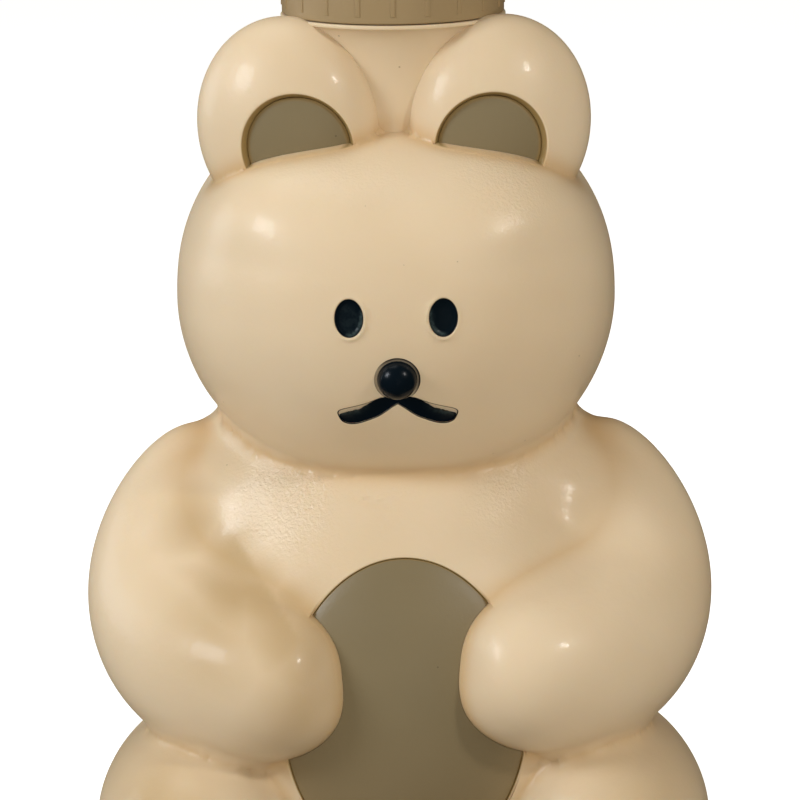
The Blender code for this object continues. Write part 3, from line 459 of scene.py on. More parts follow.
def dress(piece, material, body, node, smooth=35.0):
    """Scales a finished piece to metres, gives it its finish and body, and hides the frame's node
    that it stands for.
    """
    piece.data.transform(Matrix.Scale(MM, 4))
    piece.data.materials.clear()
    piece.data.materials.append(material)
    piece.data.shade_smooth()
    piece.data.set_sharp_from_angle(angle=math.radians(smooth))
    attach(piece, body)
    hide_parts(node)
    print(piece.name, len(piece.data.polygons), "faces")


# %% [markdown]
# ## The bear's forms
#
# A blow-moulded bear has no seams between its belly, arms and head: where two forms meet
# softly the plastic runs over in a wide fillet, and where they press together there is a
# narrow fold. Each form is therefore a sum that says how far a point lies outside it, and
# two sums are blended with a fillet of the width that the real one has there.

# %% Head, belly and shoulders
HEAD_MIDDLE = (0.0, 0.0, 99.8)
HEAD_RADII = (35.6, 37.0, 29.4)
HEAD_DROP = 33.2
HEAD_TOP_POWER = 2.42
HEAD_LOW_POWER = 1.9
HEAD_PLAN_POWER = 2.4
HEAD_CROWN_POWER = 3.7
CROWN_FROM = 0.3
CROWN_TO = 0.9
BELLY_MIDDLE = (0.0, 0.0, 39.0)
BELLY_RADII = (40.0, 39.5, 42.4)
YOKE_MIDDLE = (0.0, 1.0, 60.0)
YOKE_RADII = (44.5, 27.6, 26.1)
TRUNK_FILLET = 4.0
TINY = 1e-9


def ease(value, low, high):
    """0 below low, 1 above high, and a smooth step between."""
    share = np.clip((value - low) / (high - low), 0, 1)
    return share * share * (3 - 2 * share)


def fillet(one, other, width):
    """The nearer of two forms, filled in where both come within the width."""
    share = np.clip(0.5 + 0.5 * (other - one) / width, 0, 1)
    return other * (1 - share) + one * share - width * share * (1 - share)


def ball_gap(points, middle, radii, plan=2.0, top=2.0, low=2.0, drop=None, crown=None):
    """How far the points lie outside a ball that may be squared, flat-topped or deeper below."""
    offset = points - np.array(middle)
    up = offset[:, 2] > 0
    if crown:
        plan = plan + (crown - plan) * ease(offset[:, 2] / radii[2], CROWN_FROM, CROWN_TO)
    tall = np.where(up, radii[2], drop or radii[2])
    power = np.where(up, top, low)
    u = np.abs(offset[:, 0]) / radii[0] + TINY
    v = np.abs(offset[:, 1]) / radii[1] + TINY
    w = np.abs(offset[:, 2]) / tall + TINY
    flat = (u**plan + v**plan) ** (1 / plan)
    level = (flat**power + w**power) ** (1 / power)
    tilt = (flat / level) ** (power - 1)
    slope = np.sqrt(
        (tilt * (u / flat) ** (plan - 1) / radii[0]) ** 2
        + (tilt * (v / flat) ** (plan - 1) / radii[1]) ** 2
        + ((w / level) ** (power - 1) / tall) ** 2
    )
    return (level - 1) / slope


def head_gap(points):
    return ball_gap(
        points, HEAD_MIDDLE, HEAD_RADII, plan=HEAD_PLAN_POWER, top=HEAD_TOP_POWER,
        low=HEAD_LOW_POWER, drop=HEAD_DROP, crown=HEAD_CROWN_POWER,
    )


def trunk_gap(points):
    belly = ball_gap(points, BELLY_MIDDLE, BELLY_RADII)
    yoke = ball_gap(points, YOKE_MIDDLE, YOKE_RADII)
    return fillet(belly, yoke, TRUNK_FILLET)


def at(gap, point):
    """How far one point lies outside a form."""
    return round(float(gap(np.array([point]))[0]), 1)


print("a point in front lies", at(trunk_gap, (0.0, -60.0, 40.0)), "mm outside the trunk")

# %% [markdown]
# Arms and legs are bent, so each is laid along a curve that three points pull, and swells
# from a first girth over a second to a third.

# %% Arms and legs
ARMS = (
    # per side the three points, then the three girths, and how far the ends reach on
    {
        -1: ((33.9, -1.0, 67.0), (50.2, -7.0, 37.0), (19.0, -32.8, 42.8)),
        1: ((34.3, -1.0, 67.2), (49.9, -7.0, 36.9), (19.7, -32.8, 44.2)),
    },
    (13.2, 15.0, 17.4),
    11.0,
)
LEGS = (
    {
        -1: ((27.0, 12.0, 16.5), (38.0, -14.0, 16.0), (31.0, -36.0, 16.0)),
        1: ((27.0, 12.0, 16.5), (39.3, -14.0, 16.0), (31.5, -36.0, 16.0)),
    },
    (16.0, 18.0, 16.5),
    7.75,
)
LIMB_POWER = 2.8


def curve(pulls, t):
    """Where the curve of three points, or of three numbers, is at the share t."""
    first, middle, last = pulls
    return first * (1 - t) ** 2 + 2 * middle * t * (1 - t) + last * t**2


def heading(pulls, t):
    """Which way the curve goes there, and how fast."""
    first, middle, last = pulls
    return 2 * (middle - first) * (1 - t) + 2 * (last - middle) * t


def stretched(spine, reach):
    """The spine's three points, its ends moved out by the reach."""
    first, middle, last = (Vector(point) for point in spine)
    return (
        first + (first - middle).normalized() * reach,
        middle,
        last + (last - middle).normalized() * reach,
    )


print("arms:", 2 * ARMS[1][0], "to", 2 * ARMS[1][2], "mm thick")

# %% [markdown]
# The distance to a curve has no plain sum: the nearest of a few marks on it is taken, and
# four steps bring the mark to the right place.

# %% Distance to a limb


def limb_gap(points, limb):
    """How far the points lie outside the limb on their own side."""
    spines, fat, reach = limb
    left, right = (stretched(spines[side], reach) for side in (-1, 1))
    on_right = points[:, :1] > 0
    first, middle, last = pulls = [np.where(on_right, b, a) for a, b in zip(left, right)]
    own = points.copy()
    own[:, 0] = np.abs(own[:, 0])

    marks = np.linspace(-0.1, 1.1, 25)
    far = [((own - curve(pulls, mark)) ** 2).sum(axis=1) for mark in marks]
    t = marks[np.argmin(far, axis=0)]
    bend = 2 * (last - 2 * middle + first)
    for _ in range(4):
        off = curve(pulls, t[:, None]) - own
        speed = heading(pulls, t[:, None])
        t = t - (off * speed).sum(axis=1) / ((speed**2).sum(axis=1) + (off * bend).sum(axis=1))
        t = np.clip(t, -0.15, 1.15)

    girth = curve(fat, np.clip(t, 0, 1))
    out = np.linalg.norm(own - curve(pulls, t[:, None]), axis=1) / girth + TINY
    along = np.abs(2 * t - 1) + TINY
    level = (along**LIMB_POWER + out**LIMB_POWER) ** (1 / LIMB_POWER)
    length = np.linalg.norm(heading(pulls, t[:, None]), axis=1)
    slope = np.hypot(
        (out / level) ** (LIMB_POWER - 1) / girth,
        2 * (along / level) ** (LIMB_POWER - 1) / length,
    )
    return (level - 1) / slope


# %% [markdown]
# The ears are balls that lean out and turn a little to the side. An ear is worked out where
# it stands upright about nothing, and the points are brought to it.

# %% Ears
EAR_RADII = (14.9, 10.2, 17.3)
EAR_MIDDLE = (16.9, -10.0, 129.0)
EAR_LEAN = math.radians(4.5)
EAR_YAW = math.radians(14.0)


def ear_place(side):
    """Turns a piece made about the middle of a forward ear, and moves it to the ear."""
    yaw = Matrix.Rotation(side * EAR_YAW, 4, "Z")
    lean = Matrix.Rotation(side * EAR_LEAN, 4, "Y")
    return Matrix.Translation((side * EAR_MIDDLE[0], *EAR_MIDDLE[1:])) @ yaw @ lean


def to_ear(points, side):
    """The points as the ear sees them."""
    back = np.array(ear_place(side).inverted())
    return points @ back[:3, :3].T + back[:3, 3]


def upright_ear_gap(points):
    return ball_gap(points, (0, 0, 0), EAR_RADII)


def ear_gap(points):
    return np.minimum(*(upright_ear_gap(to_ear(points, side)) for side in (-1, 1)))


print("a point between the ears lies", at(ear_gap, (0.0, -10.0, 130.0)), "mm outside them")

# %% [markdown]
# An insert in the mould forms the eyes, and the skin swelled a quarter of a millimetre
# beside it, mostly below and towards the nose. Under the chin the skin is nicked by a short
# fold. Both are too small for a form of their own, so they are added to the sum of all.

# %% Lips beside the eyes, and a nick
EYE_MIDDLE = {-1: (-7.3, 102.3), 1: (7.45, 102.3)}
EYE_HALF = (2.14, 2.92)
LIP_HEIGHT = 0.27
LIP_AWAY = 0.45
LIP_SPREAD = 0.3
FLAP_FROM = (-8.2, 72.2)
FLAP_TO = (-1.2, 70.2)
FLAP_SAG = 0.5
FLAP_DEEP = 0.35
FLAP_WIDE = 0.35


def oval_grow(points, half_wide, half_tall, middle):
    """How far outside an oval each point lies, seen from the front."""
    x = points[:, 0] - middle[0]
    z = points[:, 2] - middle[1]
    size = np.hypot(x, z) + TINY
    reach = 1 / np.sqrt((x / size / half_wide) ** 2 + (z / size / half_tall) ** 2)
    return size - reach


def swelling(points):
    """How far the skin swells beside the eyes' pockets, as raised lips."""
    x, y, z = points.T
    swell = np.zeros(len(points))
    for side, (across, height) in EYE_MIDDLE.items():
        grow = oval_grow(points, *EYE_HALF, (across, height))
        toward = -side * (x - across) - 0.5 * (z - height)
        strong = 0.25 + 0.75 * ease(toward, -1.0, 2.0)
        swell += LIP_HEIGHT * strong * np.exp(-(((grow - LIP_AWAY) / LIP_SPREAD) ** 2))
    return swell * ((y < -25) & (z > 80) & (z < 110))


def flap_fold(points):
    """How deep the skin is nicked by the short fold under the chin, left of its middle."""
    x, y, z = points.T
    along = (x - FLAP_FROM[0]) / (FLAP_TO[0] - FLAP_FROM[0])
    sag = FLAP_SAG * np.sin(np.clip(along, 0, 1) * math.pi)
    across = (z - (FLAP_FROM[1] + (FLAP_TO[1] - FLAP_FROM[1]) * along - sag)) / FLAP_WIDE
    fades = ease(along, -0.1, 0.35) * (1 - ease(along, 0.9, 1.05)) * (y < -15)
    return FLAP_DEEP * (np.exp(-(across**2)) - 0.6 * np.exp(-((across - 1.6) ** 2))) * fades


print("eyes:", 2 * EYE_HALF[0], "by", 2 * EYE_HALF[1], "mm")

# %% [markdown]
# Arms and legs run into the trunk in fillets that widen: to eleven millimetres at the front
# of the shoulder, and to six and a half at the back of the hip. Hands and chin press on their
# neighbours, with a fillet of little more than a millimetre, and the thighs have three. A few
# shallow dents on the arms, where the mould's skin shrank, are soft hollows. Below, the forms
# are cut off level with a soft edge, and the base is pushed up a little.

# %% Blend the forms
ARM_FILLET = (1.3, 9.5)
LEG_FILLET = (3.0, 3.5)
HEAD_FILLET = (1.3, 1.5)
EAR_FILLET = 0.5
FOOT_FILLET = 2.6
BASE_RISE = 0.8
BASE_RING = (17.0, 22.0)
DENTS = (
    # x, height, depth and spread of each dent in the front of the arms
    (-30.5, 65.5, 1.1, 5.0),
    (-29.0, 75.5, 0.8, 4.5),
    (27.5, 66.0, 1.0, 5.0),
)


def bear_gap(points):
    """The whole bear without its neck."""
    x, y, z = points.T
    shoulder = ease(z, 52.0, 68.0) * ease(-y, 4.0, 20.0)
    body = fillet(trunk_gap(points), limb_gap(points, ARMS), ARM_FILLET[0] + ARM_FILLET[1] * shoulder)
    hip = ease(y, -8.0, 20.0)
    body = fillet(body, limb_gap(points, LEGS), LEG_FILLET[0] + LEG_FILLET[1] * hip)
    crown = fillet(head_gap(points), ear_gap(points), EAR_FILLET)
    nape = ease(y, 0.0, 20.0)
    whole = fillet(body, crown, HEAD_FILLET[0] + HEAD_FILLET[1] * nape)
    front = ease(-y, 0.0, 8.0)
    for across, height, depth, spread in DENTS:
        reach = (x - across) ** 2 + (z - height) ** 2
        whole = whole + depth * front * np.exp(-reach / (2 * spread**2))
    whole = whole - swelling(points) + flap_fold(points)
    push_up = BASE_RISE * (1 - ease(np.hypot(x, y), *BASE_RING))
    return -fillet(-whole, z - push_up, FOOT_FILLET)


print("a point in front lies", at(bear_gap, (0.0, -60.0, 40.0)), "mm outside the bear")

# %% [markdown]
# ## Moulding the skin
#
# Rough balls and limbs go in as seeds. A voxel remesh fuses them into one closed skin of
# even faces, and then every point slides along its normal until the blended sum is nothing.
# Folds get a second, finer set of faces, so that they stay narrow.

# %% Seeds of balls and limbs


def add_sphere(bm, segments, rings):
    """Adds a ball of radius 1 and returns its points."""
    return bmesh.ops.create_uvsphere(bm, u_segments=segments, v_segments=rings, radius=1.0)["verts"]


def add_ball(bm, radii, place):
    """Adds an ellipsoid at its place."""
    verts = add_sphere(bm, 40, 24)
    bmesh.ops.scale(bm, vec=radii, verts=verts)
    bmesh.ops.transform(bm, matrix=place, verts=verts)


def squared(a, b, power):
    """How far a point of the unit circle moves out to the squarer curve."""
    return (abs(a) ** power + abs(b) ** power) ** (-1 / power)


def add_limb(bm, limb, side, shrink=0.0, segments=40, rings=32):
    """Adds a limb, bent along its spine from a ball. Shrink draws its skin in."""
    spines, fat, reach = limb
    verts = add_sphere(bm, segments, rings)
    pulls = stretched(spines[side], reach - shrink)
    for vert in verts:
        x, y, z = vert.co
        share = squared(math.hypot(x, y), z, LIMB_POWER)
        t = (z * share + 1) / 2
        ahead = heading(pulls, t)
        out = ahead.cross(Vector((0, 0, 1))).normalized()
        up = out.cross(ahead).normalized()
        girth = curve(fat, t) - shrink
        place = curve(pulls, t) + (out * x + up * y) * share * girth
        vert.co = (side * place.x, place.y, place.z)
    if side < 0:
        faces = {face for vert in verts for face in vert.link_faces}
        bmesh.ops.reverse_faces(bm, faces=list(faces))


# %% [markdown]
# The head starts as a ball too, and each point moves out to the squarer curve that the real
# head has, seen from above and from the front. Then all the forms are put together.

# %% Seeds of the head and of the bear


def add_head(bm, shrink=0.0, segments=64, rings=40):
    """Adds the head, squarer above its middle than below."""
    for vert in add_sphere(bm, segments, rings):
        x, y, z = vert.co
        tall, power = (HEAD_RADII[2], HEAD_TOP_POWER) if z > 0 else (HEAD_DROP, HEAD_LOW_POWER)
        flat = math.hypot(x, y)
        rise = squared(flat, z, power)
        squarer = (HEAD_CROWN_POWER - HEAD_PLAN_POWER) * ease(z * rise, CROWN_FROM, CROWN_TO)
        spread = rise * flat * squared(x, y, HEAD_PLAN_POWER + squarer) if flat > 1e-6 else 0.0
        vert.co = (
            x * spread * (HEAD_RADII[0] - shrink),
            y * spread * (HEAD_RADII[1] - shrink),
            HEAD_MIDDLE[2] + z * rise * (tall - shrink),
        )


def add_bear(bm, shrink=0.0, ears=True):
    """Adds all the bear's forms, drawn in by the shrink."""
    for middle, radii in ((BELLY_MIDDLE, BELLY_RADII), (YOKE_MIDDLE, YOKE_RADII)):
        add_ball(bm, [radius - shrink for radius in radii], Matrix.Translation(middle))
    for side in (-1, 1):
        add_limb(bm, ARMS, side, shrink)
        add_limb(bm, LEGS, side, shrink)
        if ears:
            add_ball(bm, EAR_RADII, ear_place(side))
    add_head(bm, shrink)


seeds = bmesh.new()
add_bear(seeds)
bear = object_from("bear_skin", seeds)
print("seeds:", len(bear.data.polygons), "faces")

# %% [markdown]
# The sum's slope at a point says which way the skin has to go, and the sum itself how far.
# In the bottom of a fold the slope is weak and points would jump, so a little is added to it
# there, and the fold is smoothed by itself at the end.

# %% Draw on to the forms
PINCH = 0.12
FARTHEST_MOVE = 1.2
FEEL = 0.04


def fuse(piece, voxel):
    """Melts all the piece's parts into one skin of even faces."""
    step = piece.modifiers.new("fuse", "REMESH")
    step.mode = "VOXEL"
    step.voxel_size = voxel
    apply_modifiers(piece)


def read_points(piece):
    flat = np.empty(len(piece.data.vertices) * 3)
    piece.data.vertices.foreach_get("co", flat)
    return flat.reshape(-1, 3)


def write_points(piece, points):
    piece.data.vertices.foreach_set("co", points.ravel())
    piece.data.update()


def feel_slope(gap, points):
    """The gap at each point, and the way it grows fastest there."""
    here = gap(points)
    slope = np.empty_like(points)
    for axis in range(3):
        step = points.copy()
        step[:, axis] += FEEL
        slope[:, axis] = (gap(step) - here) / FEEL
    return here, slope


def off_form(piece, gap):
    """How far the piece's worst point lies from its form."""
    return float(np.abs(gap(read_points(piece))).max())


def draw_on(piece, gap, times):
    """Slides each point to the surface where the gap is nothing, gently where a fold pinches."""
    for _ in range(times):
        points = read_points(piece)
        here, slope = feel_slope(gap, points)
        steep = (slope**2).sum(axis=1) + PINCH
        move = np.clip(here / steep, -FARTHEST_MOVE, FARTHEST_MOVE)
        write_points(piece, points - slope * move[:, None])


# %% [markdown]
# A bmesh lets the faces of a piece be changed one by one. These helpers smooth all points,
# or those in folds and in the arms' inner bends, and halve the edges in a marked region.

# %% Smooth and split
ELBOW = (26.0, 62.0, 7.0, 6.0)


@contextlib.contextmanager
def faces_of(piece):
    """The piece as a bmesh, which is written back at the end."""
    bm = bmesh.new()
    bm.from_mesh(piece.data)
    bm.verts.ensure_lookup_table()
    yield bm
    bm.to_mesh(piece.data)
    bm.free()


def smooth(bm, verts, times):
    for _ in range(times):
        bmesh.ops.smooth_vert(
            bm, verts=verts, factor=0.5, use_axis_x=True, use_axis_y=True, use_axis_z=True,
        )


def relax(piece, times):
    """Evens out the faces without looking at the form."""
    with faces_of(piece) as bm:
        smooth(bm, bm.verts[:], times)


def soothe(piece, gap, times, facing=0.74, within=None):
    """Evens out the bottoms of folds, where the slope is weak, and the inner bends of the arms."""
    points = read_points(piece)
    _, slope = feel_slope(gap, points)
    across, height, wide, tall = ELBOW
    x, y, z = points.T
    bend = ((np.abs(x) - across) ** 2 / wide**2 + (z - height) ** 2 / tall**2 < 1) & (y < -8)
    weak = (np.linalg.norm(slope, axis=1) < facing) | bend
    if within:
        weak &= within(points)
    with faces_of(piece) as bm:
        pinched = {bm.verts[n] for n in np.flatnonzero(weak)}
        for _ in range(2):
            pinched |= {edge.other_vert(vert) for vert in pinched for edge in vert.link_edges}
        smooth(bm, list(pinched), times)


def split_near(piece, mask):
    """Halves every edge whose two ends are marked."""
    with faces_of(piece) as bm:
        edges = [e for e in bm.edges if mask[e.verts[0].index] and mask[e.verts[1].index]]
        bmesh.ops.subdivide_edges(bm, edges=edges, cuts=1, use_grid_fill=True)


# %% [markdown]
# Two places are picked by number: the corner under the jaw, which needs more smoothing, and
# the folds, where a point is nearly as close to a second form as to its own.

# %% Jaw and folds


def by_jaw(points):
    """Whether the points lie where jaw, shoulder and chest meet."""
    x, y, z = points.T
    aside = (np.abs(x) > 16) & (np.abs(x) < 38)
    return aside & (z > 68) & (z < 92) & (y < 10) & (np.abs(head_gap(points)) < 1.5)


def second_nearest(points):
    """How far each point of the skin lies from the next form than its own."""
    limbs = [limb_gap(points, limb) for limb in (ARMS, LEGS)]
    gaps = np.stack([trunk_gap(points), *limbs, head_gap(points), ear_gap(points)])
    gaps.sort(axis=0)
    return gaps[1] - np.minimum(gaps[0], 0)


print("under the chin the next form is", at(second_nearest, (0.0, -28.0, 70.0)), "mm away")

# %% [markdown]
# The skin is fused coarsely, cut off at the ground, and fused again with finer faces. Folds
# and the rims of the eyes are split once or twice more, and drawing and smoothing take turns.

# %% Mould the skin
FIRST_VOXEL = 1.6
SKIN_VOXEL = 0.85
FOLD_REACH = 1.6
GROUND_SIZE = 200.0

ground = bmesh.new()
below = Matrix.Translation((0, 0, -GROUND_SIZE / 2))
bmesh.ops.create_cube(ground, size=GROUND_SIZE, matrix=below)
fuse(bear, FIRST_VOXEL)
carve(bear, piece_from("ground", ground))
fuse(bear, SKIN_VOXEL)
relax(bear, 3)
draw_on(bear, bear_gap, 2)

points = read_points(bear)
in_fold = (second_nearest(points) < FOLD_REACH) & (points[:, 2] < 142)
soft_shoulder = (points[:, 2] > 66) & (head_gap(points) > 2)
split_near(bear, in_fold & ~soft_shoulder)
relax(bear, 1)
draw_on(bear, bear_gap, 2)
for _ in range(2):
    points = read_points(bear)
    rims = [np.abs(oval_grow(points, *EYE_HALF, EYE_MIDDLE[side]) - 0.3) for side in (-1, 1)]
    split_near(bear, (np.minimum(*rims) < 1.1) & (points[:, 1] < -25))
for _ in range(3):
    relax(bear, 1)
    draw_on(bear, bear_gap, 1)
soothe(bear, bear_gap, 14)
soothe(bear, bear_gap, 24, 0.97, by_jaw)
worst = round(off_form(bear, bear_gap), 3)
print("bear skin:", len(bear.data.polygons), "faces, off its form by", worst, "mm at most")

# %% [markdown]
# ## Neck, bead and screw thread
#
# The neck is turned, as the mould's own neck ring is: it opens like a funnel under the bead
# that the collar stands on, and above the bead a ridge of one and a quarter turns holds the
# collar. A section is drawn once, its corners are eased, and spin carries it round. The
# creases against head and ears are sharp, so here a plain union does better than a fillet.

# %% Eased sections
THREAD_PITCH = 3.175
RIDGE_FOOT_HALF = 0.65
RIDGE_CREST_HALF = 0.35
RIDGE_STEPS = 72
CORNER_STEPS = 5


def soften(profile):
    """The section, where each corner with a third number is cut back by it to a small curve."""
    eased = []
    for n, corner in enumerate(profile):
        here = Vector(corner[:2])
        if len(corner) < 3:
            eased.append(tuple(here))
            continue
        before = Vector(profile[n - 1][:2])
        after = Vector(profile[(n + 1) % len(profile)][:2])
        start = here + (before - here).normalized() * corner[2]
        end = here + (after - here).normalized() * corner[2]
        for step in range(CORNER_STEPS + 1):
            eased.append(tuple(curve((start, here, end), step / CORNER_STEPS)))
    return eased


def ridge(name, root, crest, foot, turns):
    """A screw ridge that climbs one pitch a turn."""
    bm = bmesh.new()
    section = (
        (root, -RIDGE_FOOT_HALF), (crest, -RIDGE_CREST_HALF), (crest, RIDGE_CREST_HALF),
        (root, RIDGE_FOOT_HALF),
    )
    corners = [bm.verts.new((radius, 0.0, foot + rise)) for radius, rise in section]
    lines = [bm.edges.new(pair) for pair in zip(corners, corners[1:] + corners[:1])]
    count = round(RIDGE_STEPS * turns)
    bmesh.ops.spin(
        bm, geom=corners + lines, cent=(0, 0, 0), axis=(0, 0, 1), angle=2 * math.pi * turns,
        dvec=(0, 0, THREAD_PITCH * turns / count), steps=count,
    )
    bmesh.ops.holes_fill(bm, edges=bm.edges, sides=4)
    return piece_from(name, bm)


# %% Neck
SHOULDER = 145.6
MOUTH_TOP = 160.0
FINISH_RADIUS = 14.0
BEAD_RADIUS = 18.15
BEAD_FOOT = 145.0
NECK_FOOT = (13.0, 114.0)
NECK_RISE = ((14.4, 131.0), (13.9, 142.2), (17.9, 144.9))
NECK_STEPS = 20
THREAD_TURNS = 1.25
THREAD_FOOT = MOUTH_TOP - 2.2 - THREAD_PITCH * THREAD_TURNS

funnel = []
pulls = [Vector(point) for point in (NECK_FOOT, *NECK_RISE)]
for step in range(NECK_STEPS + 1):
    t = step / NECK_STEPS
    s = 1 - t
    shares = (s**3, 3 * s * s * t, 3 * s * t * t, t**3)
    funnel.append(tuple(sum((pull * share for pull, share in zip(pulls, shares)), Vector((0, 0)))))

neck = lathe("neck", soften([
    (0.0, MOUTH_TOP), (FINISH_RADIUS, MOUTH_TOP, 0.4), (FINISH_RADIUS, SHOULDER, 0.5),
    (BEAD_RADIUS, SHOULDER, 0.25), (BEAD_RADIUS, BEAD_FOOT, 0.15), *reversed(funnel),
    (0.0, NECK_FOOT[1]),
]), 128)
carve(bear, neck, "UNION")
thread = ridge("neck_thread", FINISH_RADIUS - 1, FINISH_RADIUS + 1, THREAD_FOOT, THREAD_TURNS)
carve(bear, thread, "UNION")
print("with its neck:", len(bear.data.polygons), "faces")

# %% [markdown]
# ## Pockets
#
# The khaki fields, the eyes and the mouth lie in shallow pockets with a rolled edge. Each
# pocket's tool is a stack of rings of one outline: wide and clear of the skin in front,
# rolling in over the edge, and ending one panel's thickness under the skin. The stack is
# made flat first, and then laid on the form, so that it has the same depth everywhere.

# %% Rings laid on a form
CLEAR = -4.0
POINT = 0.03


def front_of(gap):
    """A function that finds the Y of a form's front at each (x, height), by halving."""
    def place(x, z):
        low = np.full(len(x), -60.0)
        high = np.zeros(len(x))
        for _ in range(28):
            middle = (low + high) / 2
            inside = gap(np.stack([x, middle, z], axis=1)) < 0
            high = np.where(inside, middle, high)
            low = np.where(inside, low, middle)
        return high
    return place


def loft(name, shape, steps, front, segments, place=None):
    """Rings of a shape, each as (grow, share, depth behind the form's front), closed at both ends."""
    bm = bmesh.new()
    turn = bm.verts.layers.float.new("turn")
    ring = bmesh.ops.create_circle(bm, segments=segments, radius=1.0)["verts"]
    for vert in ring:
        vert[turn] = math.atan2(vert.co.y, vert.co.x)
    first = edges = bm.edges[:]
    for n, (grow, share, depth) in enumerate(steps):
        if n:
            grown = bmesh.ops.extrude_edge_only(bm, edges=edges)["geom"]
            ring = {part for part in grown if isinstance(part, bmesh.types.BMVert)}
            lines = [part for part in grown if isinstance(part, bmesh.types.BMEdge)]
            edges = [line for line in lines if ring.issuperset(line.verts)]
        for vert in ring:
            x, z = shape(vert[turn], grow, share)
            vert.co = (x, depth, z)
    for end in (first, edges):
        bmesh.ops.edgeloop_fill(bm, edges=end)
    bmesh.ops.triangulate(bm, faces=[face for face in bm.faces if len(face.verts) > 4])
    made = piece_from(name, bm)
    points = read_points(made)
    points[:, 1] += front(points[:, 0], points[:, 2])
    write_points(made, points)
    if place:
        made.data.transform(place)
    return made


# %% [markdown]
# A pocket and the panel in it come from one outline, an oval or the mouth's stroke. Their
# rings differ: the pocket's roll outwards over the edge, and the panel's round inwards.

# %% Rings of pockets and panels


def oval(half_wide, half_tall, middle):
    """An oval as a shape: its point at a turn, grown, and drawn in towards its middle."""
    def shape(turn, grow, share):
        return (
            middle[0] + share * (half_wide + grow) * math.cos(turn),
            middle[1] + share * (half_tall + grow) * math.sin(turn),
        )
    return shape


def pocket_steps(roll, depth):
    """The rings of a pocket's tool: in front, over the rolled edge, down the wall, and the floor."""
    return (
        (roll, POINT, CLEAR), (roll, 1.0, CLEAR), (roll, 1.0, -0.03), (0.62 * roll, 1.0, 0.02),
        (0.3 * roll, 1.0, 0.1 * depth + 0.02), (0.1 * roll, 1.0, 0.3 * depth),
        (0.0, 1.0, 0.6 * depth), (0.0, 1.0, depth), (0.0, 0.7, depth), (0.0, 0.35, depth),
        (0.0, POINT, depth),
    )


def inlay_steps(inset, front, edge, back):
    """The rings of a slim panel: its face, a small rounded edge, its side and its back."""
    face = [(-inset - edge, share, front) for share in (POINT, 0.2, 0.4, 0.6, 0.8, 0.93, 1.0)]
    rounded = [(-inset - 0.3 * edge, 1.0, front + 0.3 * edge), (-inset, 1.0, front + edge)]
    rear = [(-inset, share, back) for share in (1.0, 0.8, 0.5, POINT)]
    return face + rounded + rear


print("a pocket's tool has", len(pocket_steps(1.0, 1.0)), "rings")

# %% [markdown]
# Hands and thighs lie over the belly's field, which runs on under them. So the tool that cuts
# its pocket is itself cut by finer limbs and ends where they begin.

# %% Belly pocket
BELLY_HALF = (19.2, 25.7)
BELLY_SPOT = (0.8, 37.0)
BELLY_OVAL = oval(*BELLY_HALF, BELLY_SPOT)
trunk_front = front_of(trunk_gap)


def clear_of_limbs(piece, grow):
    """Cuts hands and thighs out of a piece, so that it ends where they begin."""
    for side in (-1, 1):
        for limb in (ARMS, LEGS):
            room = bmesh.new()
            add_limb(room, limb, side, -grow, 112, 72)
            carve(piece, piece_from("limb_room", room))


belly_tool = loft("belly_tool", BELLY_OVAL, pocket_steps(roll=0.55, depth=1.2), trunk_front, 160)
clear_of_limbs(belly_tool, 0.05)
carve(bear, belly_tool)
print("belly pocket cut:", len(bear.data.polygons), "faces")

# %% Ear pockets
EAR_HALF = (8.0, 8.1)
EAR_SPOT = {side: (-side * 3.25, -2.9) for side in (-1, 1)}
EAR_SHAPE = {side: oval(*EAR_HALF, EAR_SPOT[side]) for side in (-1, 1)}
EAR_POCKET = 1.9
EAR_STEPS = (
    (1.1, POINT, CLEAR), (1.1, 1.0, CLEAR), (1.1, 1.0, -0.03), (0.82, 1.0, 0.05),
    (0.64, 1.0, 0.22), (0.4, 1.0, 0.7), (0.12, 1.0, 1.3), (0.04, 1.0, EAR_POCKET),
    (0.0, 0.7, EAR_POCKET), (0.0, 0.35, EAR_POCKET), (0.0, POINT, EAR_POCKET),
)
ear_front = front_of(upright_ear_gap)


def clear_of_head(piece, grow):
    """Cuts the head out of a piece."""
    room = bmesh.new()
    add_head(room, -grow, 160, 110)
    carve(piece, piece_from("head_room", room))


for side in (-1, 1):
    ear_tool = loft("ear_tool", EAR_SHAPE[side], EAR_STEPS, ear_front, 128, ear_place(side))
    clear_of_head(ear_tool, 0.05)
    carve(bear, ear_tool)
print("ear pockets cut:", len(bear.data.polygons), "faces")

# %% [markdown]
# ## The face's pockets
#
# The eyes are dished ovals, the nose is a ball in a ring-shaped groove, and the mouth is a
# stroke that peaks under the nose and falls to both ends, which are cut off at a slant.

# %% Shapes of the face
NOSE_SPOT = (0.15, 92.35)
NOSE_RADIUS = 3.16
NOSE_GROOVE = 3.55
NOSE_OVAL = oval(NOSE_GROOVE, NOSE_GROOVE, NOSE_SPOT)
MOUTH_MIDDLE = 0.17
MOUTH_PEAK = 89.2
MOUTH_SAG = 3.4
MOUTH_HALF = 9.35
MOUTH_SLANT = 0.42

head_front = front_of(head_gap)


def stroke_middle(x):
    """The height of the stroke's middle line."""
    return MOUTH_PEAK - MOUTH_SAG * np.sin(np.clip(abs(x) / MOUTH_HALF, 0, 1) * math.pi / 2)


def stroke_tall(x):
    """Half the stroke's height: slim under the nose, full beside it, and slimmer at the ends."""
    return 0.95 + 0.55 * ease(abs(x), 0.0, 3.4) - 0.12 * ease(abs(x), 4.5, MOUTH_HALF)


